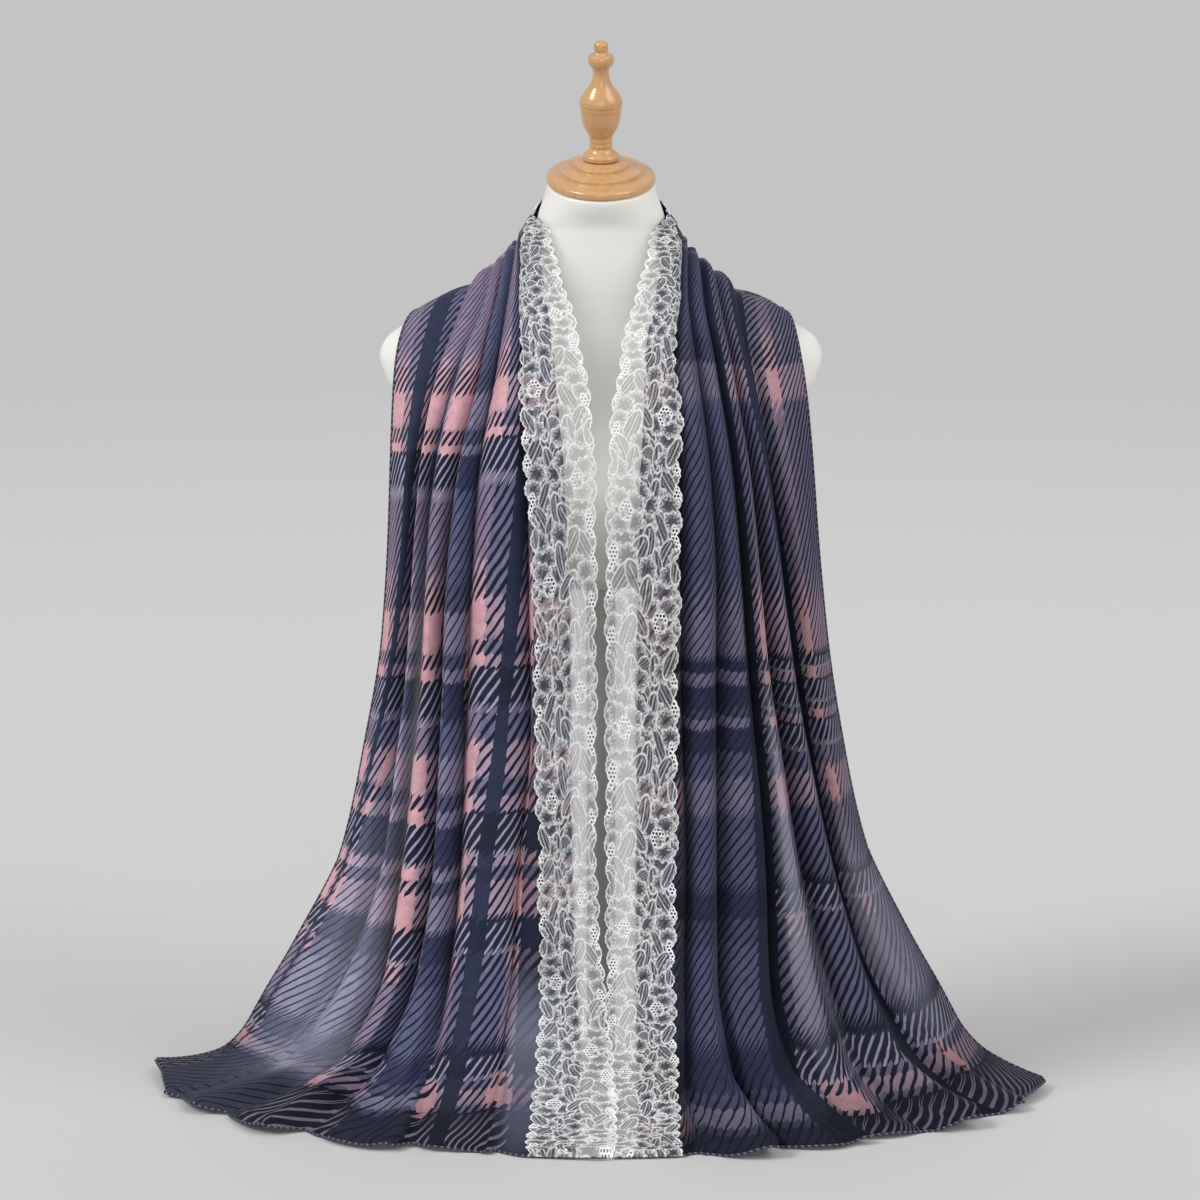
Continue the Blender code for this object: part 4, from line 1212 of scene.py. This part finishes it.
def thread_maps(points, fold, side, level):
    """The cloth's own maps: the thread map in metres, and the stripe and band. All the
    rows of a front keep the distances that its middle rows have on average."""
    across = arc_length(points, 1)
    if len(points) == PANEL_ROWS:
        across = across[PANEL_ROWS // 8:PANEL_ROWS * 7 // 8].mean(axis=0)
    fine = level + np.maximum(level - FINE_FROM, 0) * (FINE_GAIN - 1)
    thread = np.stack([np.broadcast_to(across, level.shape), fine], axis=-1)
    plaid = [stripe_number(fold, level, side), band_number(level, fold, side)]
    return {"UVMap": thread, "plaid": np.stack(plaid, axis=-1)}


def sheerness(fold, level, side):
    """How sheer the cloth is: each thin place adds its amount times exp(-(r^2)^2), where
    r is the distance from its middle, counted in its spreads."""
    total = np.zeros(level.shape)
    for line, spread, height, reach, amount in SHEER_PLACES[side]:
        square = ((fold - line) / spread) ** 2 + ((level - height) / reach) ** 2
        total = total + amount * np.exp(-square ** 2)
    return np.where(total < LEAST_SHEER, 0.0, np.clip(total, 0, 1))


def behind_neck(right, left):
    """The scarf behind the neck: columns of points from the right shoulder round the
    back to the left. Each thread is half an oval between the two panels' first
    points, deeper and lower towards the free edge, with the folds carried round."""
    columns = right.shape[1]
    share = np.linspace(0, 1, columns)[None, :]
    turn = np.linspace(-math.pi / 2, math.pi / 2, BACK_STEPS + 1)[:, None]
    start, end = right[0][None], left[0][None]
    points = (start + end) / 2 + (end - start) / 2 * np.sin(turn)[..., None]
    round_back = np.maximum(np.cos(turn), 0) ** BACK["depth_roundness"]
    depth = BACK["lace_depth"] + (BACK["edge_depth"] - BACK["lace_depth"]) * share
    fall = BACK["edge_sag"] + BACK["lace_rise"]
    sag = fall * share ** BACK["sag_growth"] - BACK["lace_rise"]
    points[..., 1] += SEAM + (depth - SEAM) * round_back
    points[..., 2] -= sag * round_back ** BACK["sag_roundness"]
    folds = np.cos(2 * math.pi * BACK["folds"] * share)
    folds = folds * round_back ** BACK["fold_roundness"]
    out = normals(points)
    out = out * np.sign(out[BACK_STEPS // 2, columns // 2, 1])
    return points + out * (BACK["fold_height"] * (1 + folds) * round_back)[..., None]


def nape_ground(back):
    """The lace's ground behind the neck: from the scarf's first thread up to a line
    that leans on the neck."""
    seam = back[:, 0]
    turn = np.linspace(-math.pi / 2, math.pi / 2, BACK_STEPS + 1)
    inner = np.stack([
        LACE_LINE[1][0] / 1000 * np.sin(turn),
        seam[0, 1] + NAPE_DEPTH * np.cos(turn),
        NAPE_HEIGHT + NAPE_RISE * np.cos(turn),
    ], axis=-1)
    steps = np.linspace(0, 1, GROUND_COLUMNS)[None, :, None]
    return seam[:, None] + (inner - seam)[:, None] * steps


# ---------------------------------------------------------------- the lace

def finer(grid, where):
    """The grid read at new places along its first direction, 0 to 1, on a smooth
    curve."""
    stations = np.linspace(0, 1, len(grid))
    flat = grid.reshape(len(grid), -1)
    curves = [between(stations, flat[:, column], where) for column in range(flat.shape[1])]
    return np.stack(curves, axis=-1).reshape(len(where), *grid.shape[1:])


def evened(grid, columns):
    """The grid with new columns, evenly spaced along each row."""
    travelled = arc_length(grid, 1)
    share = np.linspace(0, 1, columns)
    made = np.empty((len(grid), columns, 3))
    for row, (line, far) in enumerate(zip(grid, travelled)):
        for axis in range(3):
            made[row, :, axis] = between(far, line[:, axis], share * far[-1])
    return made


def oval(u, v, centre_u, centre_v, wide, tall, turn):
    """A place in an oval's own frame, and how far from its middle that is: 1 on the
    outline. Centre, half width and half length are in millimetres, turn in degrees."""
    angle = math.radians(turn)
    x = (u - centre_u) * math.cos(angle) + (v - centre_v) * math.sin(angle)
    y = (v - centre_v) * math.cos(angle) - (u - centre_u) * math.sin(angle)
    return x, y, np.hypot(x / wide, y / tall)


def lace_pattern(u, v):
    """Cover, relief and mesh of the lace at u across and v along, in millimetres. One
    half repeat holds a flower, leaves and edge fans; the next half is the same, turned
    over to the other edge. Motifs are ovals painted one over another, each with a
    raised cord along its outline: petals are hollow at their roots and dense at their
    frilled rims, leaves are open with thin bars, and flowers have a ring of mesh."""
    cover = -0.12 + 0.16 * np.sin(u * 1.7 + 2 * np.sin(v * 0.4)) * np.sin(v * 1.5)
    relief = np.zeros(u.shape)
    mesh = np.zeros(u.shape)
    half = LACE_REPEAT / 2
    for across, start in ((u, 0.0), (LACE_PATTERN_WIDTH - u, half)):
        for kind, centre_u, centre_v, wide, tall, turn in LACE_MOTIFS:
            wide, tall = wide * MOTIF_GROWTH[kind], tall * MOTIF_GROWTH[kind]
            along = np.mod(v - start - centre_v + half, LACE_REPEAT) - half + centre_v
            x, y, near = oval(across, along, centre_u, centre_v, wide, tall, turn)
            far = (near - 1) * min(wide, tall)
            if kind == "petal":
                angle = np.arctan2(y, x)
                frill = FRILL * np.cos(angle * FRILL_WAVES + centre_u)
                far = far + frill
                line = np.exp(-((far + FRILL_LINE + 0.5 * frill) / CORD_WIDTH) ** 2)
                fill = -0.15 + 0.65 * near ** 2 + 0.20 * np.cos(angle * FRILL_BARS)
                fill = np.maximum(fill, 0.75 * line)
            elif kind == "leaf":
                bars = np.cos(2 * math.pi * (x + LEAF_BEND * y * y) / LEAF_BAR)
                rib = np.exp(-(x / RIB_WIDTH) ** 2) * (near < RIB_END)
                fill = np.maximum(np.clip(0.75 * bars - 0.30, THINNEST, 0.45), 0.85 * rib)
            elif kind == "grain":
                bars = np.cos(2 * math.pi * (x + y) / GRAIN_BAR)
                fill = np.maximum(0.10 + 0.30 * bars, 0.0)
            else:
                fill = 0.25
            inside = ease(0.5 - far / OUTLINE_SPAN)
            cord = np.exp(-(far / CORD_WIDTH) ** 2)
            cover = np.maximum(cover * (1 - inside) + fill * inside, cord)
            relief = np.maximum(relief * (1 - inside) + 0.45 * fill * inside, cord)
            mesh = mesh * (1 - inside)
            if kind in MESH_HEART:
                hollow = (far < MESH_INSET) & (near >= MESH_HEART[kind])
                mesh = np.where(hollow, 1.0, mesh)
                cover = np.where(hollow, 1.0, cover)
    return np.clip(cover, THINNEST, 1) * LACE_DENSITY, relief, mesh


def scallop(along, reach, small):
    """How far an edge is cut back: wide waves, scallops on them, and small picots on
    the scallops."""
    wide = 0.5 - 0.5 * np.cos(2 * math.pi * along * 2 / LACE_REPEAT)
    lobes = 1 - np.abs(np.sin(math.pi * along / SCALLOP_PITCH))
    tiny = 1 - np.abs(np.sin(math.pi * along / PICOT_PITCH))
    return 0.55 * reach * wide + reach * lobes + small * tiny


def lace_strip(name, ground, finish, toward, cut, start=0.0, reach=SCALLOP_DEPTH):
    """A band of lace over a ground, whose rows run from the seam to the free edge: both
    edges in scallops, the pattern's relief raised off the ground. cut is the share of
    the width that is folded away at the seam, at even steps down the band."""
    length = arc_length(ground, 0)[-1].mean()
    rows = int(length / LACE_CELL)
    down_band = np.linspace(0, 1, rows)
    smooth = finer(evened(ground, CARRIER_COLUMNS), down_band)
    widths = arc_length(smooth, 1)[:, -1:]
    along = np.linspace(0, length, rows)[:, None] * 1000 + start
    first = scallop(along + SCALLOP_PITCH / 4, reach, PICOT_SHARE * reach) / 1000 / widths
    first = first + np.interp(down_band, np.linspace(0, 1, len(cut)), cut)[:, None]
    last = scallop(along, *INNER_SCALLOP) / 1000 / widths
    share = first + (1 - first - last) * np.linspace(0, 1, LACE_COLUMNS)[None, :]
    row = np.broadcast_to(np.arange(rows)[:, None], share.shape)
    points = sample(smooth, row, share * (CARRIER_COLUMNS - 1))
    v = np.broadcast_to(along, share.shape)
    cover, relief, mesh = lace_pattern(share * LACE_PATTERN_WIDTH, v)
    edge = np.minimum(share - share[:, :1], share[:, -1:] - share) * widths * 1000
    cover = np.maximum(cover, np.exp(-(edge / LACE_RIM) ** 2))
    mesh = np.where(edge < LACE_SOLID_RIM, 0.0, mesh)
    out = normals(points)
    out = out * np.sign((out * toward).sum(axis=-1, keepdims=True).sum())
    points = points + out * (relief * LACE_RELIEF)[..., None]
    points[..., 2] = np.maximum(points[..., 2], LACE_LOWEST)
    layer = np.stack([share * widths, v / 1000], axis=-1)
    return make_piece(name, points, finish, toward, {"UVMap": layer},
                      {"cover": cover, "mesh": mesh})


def over_seam(ground, side):
    """The ground that a front band lies on, raised over the cloth: out past the panel's
    first crest, level with it, then across to the lace's own inner line."""
    lifted = ground + (normals(ground) * side) * LACE_OVER
    away = unit(lifted[:, 0] - lifted[:, 2])
    overlap = [lifted[:, 0] + away * back for back in LACE_OVERLAP]
    return np.concatenate([np.stack(overlap, axis=1), lifted[:, 1:]], axis=1)


# ---------------------------------------------------------------- form and stand

def turned(name, outline, finish, lift, depth_ratio):
    """A profile turned about the leaning axis of the neck: rings of the outline's radii,
    with the outline smoothed between its points."""
    outline = np.array(outline[1:-1]) / 1000
    travelled = arc_length(outline, 0)
    evenly = np.linspace(0, travelled[-1], TURNED_RINGS)
    where = np.unique(np.concatenate([evenly, travelled]))
    radius, height = (between(travelled, outline[:, part], where) for part in (0, 1))
    angle = np.linspace(0, 2 * math.pi, TURNED_SIDES, endpoint=False)
    x = radius[:, None] * np.cos(angle)
    y = radius[:, None] * np.sin(angle) * depth_ratio
    z = np.broadcast_to(height[:, None] + lift, x.shape)
    points = tilted(np.stack([x, y, z], axis=-1))
    return make_piece(name, points, finish, points - points.mean(axis=1, keepdims=True),
                      closed=True)


def disc(name, radius, bottom, top, finish, rim, sides):
    """A flat round plate or a rod, with its upper edge rounded by a quarter circle."""
    angle = np.linspace(0, math.pi / 2, RIM_RINGS)
    radii = [radius - rim * FOOT_BEVEL, radius, *(radius - rim * (1 - np.cos(angle)))]
    heights = [bottom, bottom + rim * FOOT_BEVEL, *(top - rim * (1 - np.sin(angle)))]
    turn = np.linspace(0, 2 * math.pi, sides, endpoint=False)
    points = np.stack([
        np.outer(radii, np.cos(turn)), np.outer(radii, np.sin(turn)),
        np.repeat(np.array(heights)[:, None], sides, axis=1)], axis=-1)
    way = np.stack([np.cos(turn), np.sin(turn), np.zeros(sides)], axis=-1)
    return make_piece(name, points, finish, way, closed=True)


# ---------------------------------------------------------------- the pieces

def add_piece(piece, slot, *nodes):
    """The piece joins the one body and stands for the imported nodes."""
    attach(piece, "root")
    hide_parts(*nodes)
    return piece


groups = {"weave": weave_group(), "twill": twill_group(), "mesh": mesh_group()}
plaid = {side: plaid_material(side, groups) for side in WEARER}
lace = lace_material(groups)
overlock = hem_material()

fronts = {}
top_level = {}
for side in WEARER:
    points, number = panel(side)
    fronts[side] = points
    ground = ground_of_lace(points, side)
    top = ease(1 - row_drops()[:, 0] / TOP_CUT_SPAN)
    low = ease((LOW_FROM - points[:, 0, 2]) / LOW_SPAN + 0.5)
    reach = EDGE_REACH + (NAPE_REACH - EDGE_REACH) * top + (LOW_REACH - EDGE_REACH) * low
    cloth, fold = with_edge(points, number, ground, reach)
    level = straight_level(cloth)
    top_level[side] = level[0]
    # Low down, the edge past its middle reach becomes a half-clear grey sheet of painted shade
    # behind the lace.
    inward = -np.minimum(fold, 0) / EDGE_FOLDS * reach[:, None]
    bare = np.clip((inward - EDGE_REACH) / EDGE_SHADE_SPAN, 0, 1) * low[:, None]
    sheer_and_shade = np.maximum(sheerness(fold, level, side), bare * EDGE_SHADE_SHEER)
    piece = make_piece("cloth_front_" + WEARER[side], cloth, plaid[side], FORWARD,
                       thread_maps(cloth, fold, side, level), {"sheer_and_shade": sheer_and_shade})
    add_piece(piece, "plaid", "scarf_front_" + WEARER[side])
    edge = np.concatenate([cloth[:, -1], cloth[-1, -2::-1]])
    edge[:, 2] = np.maximum(edge[:, 2], HEM_RADIUS)
    hem = tube("hem_" + WEARER[side], edge, HEM_RADIUS, overlock)
    add_piece(hem, "plaid", "scarf_front_" + WEARER[side])
    band = lace_strip("lace_band_" + WEARER[side], over_seam(ground, side), lace, FORWARD,
                      TOP_CUT * top, LACE_START[side])
    add_piece(band, "lace", "lace_front_" + WEARER[side])

back = behind_neck(fronts[-1], fronts[1])
ground = nape_ground(back)
behind, fold = with_edge(back, number[:1], ground, np.full(len(back), NAPE_REACH))
level = top_level[-1] + arc_length(behind, 0)
cloth_back = make_piece("cloth_back", behind, plaid[-1], (0.0, 1.0, 0.4),
                        thread_maps(behind, fold, -1, level),
                        {"sheer_and_shade": np.zeros(fold.shape)})
add_piece(cloth_back, "plaid", "scarf_back")
hem = tube("hem_back", back[:, -1], HEM_RADIUS, overlock)
add_piece(hem, "plaid", "scarf_back")
out = normals(ground)
out = out * np.sign(out[BACK_STEPS // 2, GROUND_COLUMNS // 2, 1])
nape = lace_strip("lace_nape_band", ground + out * LACE_OVER, lace, (0.0, 1.0, 0.3),
                  np.full(3, NAPE_CUT), reach=NAPE_SCALLOP_DEPTH)
add_piece(nape, "lace", "lace_nape")

surface = form_surface(*FORM_GRID)
form = make_piece("form_skin", surface, cover_material(),
                  surface - surface.mean(axis=1, keepdims=True), closed=True)
add_piece(form, "form_cover", "form_torso")
wood = wood_material()
add_piece(turned("cap_turning", CAP, wood, 0.0, CAP_DEPTH_RATIO), "wood_look", "neck_cap")
add_piece(turned("finial_turning", FINIAL, wood, CAP_TOP + SEAM, 1.0), "wood_look", "finial")
paint = new_material("stand_paint", linear(226, 224, 218), 0.35)[0]
base = disc("stand_base", BASE_RADIUS, 0.0, BASE_HEIGHT, paint, BASE_RIM, BASE_SIDES)
add_piece(base, "stand_paint", "base")
pole = disc("stand_pole", POLE_RADIUS, BASE_HEIGHT + SEAM, FORM[0][0] - SEAM, paint,
            POLE_RIM, POLE_SIDES)
add_piece(pole, "stand_paint", "pole")

# ---------------------------------------------------------------- the picture

# The floor's paper fades with distance into an even glow of the backdrop's own tone.
floor_look, nodes, shader = new_material("floor_paper", (0.56, 0.56, 0.56, 1.0), 0.95,
                                         Specular_IOR_Level=0.1)
place = nodes.add("TexCoord", {})["Object"]
far = nodes.add("VectorMath", {0: place}, operation="LENGTH")["Value"]
fade = nodes.add("MapRange", {"Value": far, "From Min": FLOOR_FADE[0],
                              "From Max": FLOOR_FADE[1]}, interpolation_type="SMOOTHSTEP")
paper = nodes.tree.nodes["Principled BSDF"].outputs[0]
glow = nodes.add("Emission", {"Color": BACKDROP})[0]
both = nodes.add("MixShader", {0: fade[0], 1: paper, 2: glow})[0]
nodes.put(both, nodes.tree.nodes["Material Output"].inputs["Surface"])
sides = (-FLOOR_HALF, FLOOR_HALF)
east, north = np.meshgrid(sides, sides, indexing="ij")
floor = make_piece("floor_plane", np.stack([east, north, np.zeros((2, 2))], axis=-1),
                   floor_look, (0.0, 0.0, 1.0))

world = bpy.data.worlds.new("studio")
world.use_nodes = True
background = world.node_tree.nodes["Background"].inputs
background["Color"].default_value = BACKDROP
background["Strength"].default_value = 1.0
bpy.context.scene.world = world

for name, (strength, spread, azimuth, height) in LIGHTS.items():
    light = bpy.data.lights.new(name, "SUN")
    light.energy = strength
    light.angle = math.radians(spread)
    lamp = bpy.data.objects.new(name, light)
    lamp.rotation_euler = (math.radians(90 - height), 0.0, math.radians(azimuth))
    bpy.context.scene.collection.objects.link(lamp)

lens = bpy.data.cameras.new("camera")
lens.lens = LENS_MM
lens.sensor_width = SENSOR_MM
lens.shift_x = (FRAME_PX / 2 - CENTRE_PX) / FRAME_PX
camera = bpy.data.objects.new("camera", lens)
camera.location = CAMERA_PLACE
camera.rotation_euler = (math.radians(90 - CAMERA_PITCH), 0.0, 0.0)
bpy.context.scene.collection.objects.link(camera)
bpy.context.scene.camera = camera
bpy.context.scene.view_settings.view_transform = "Standard"
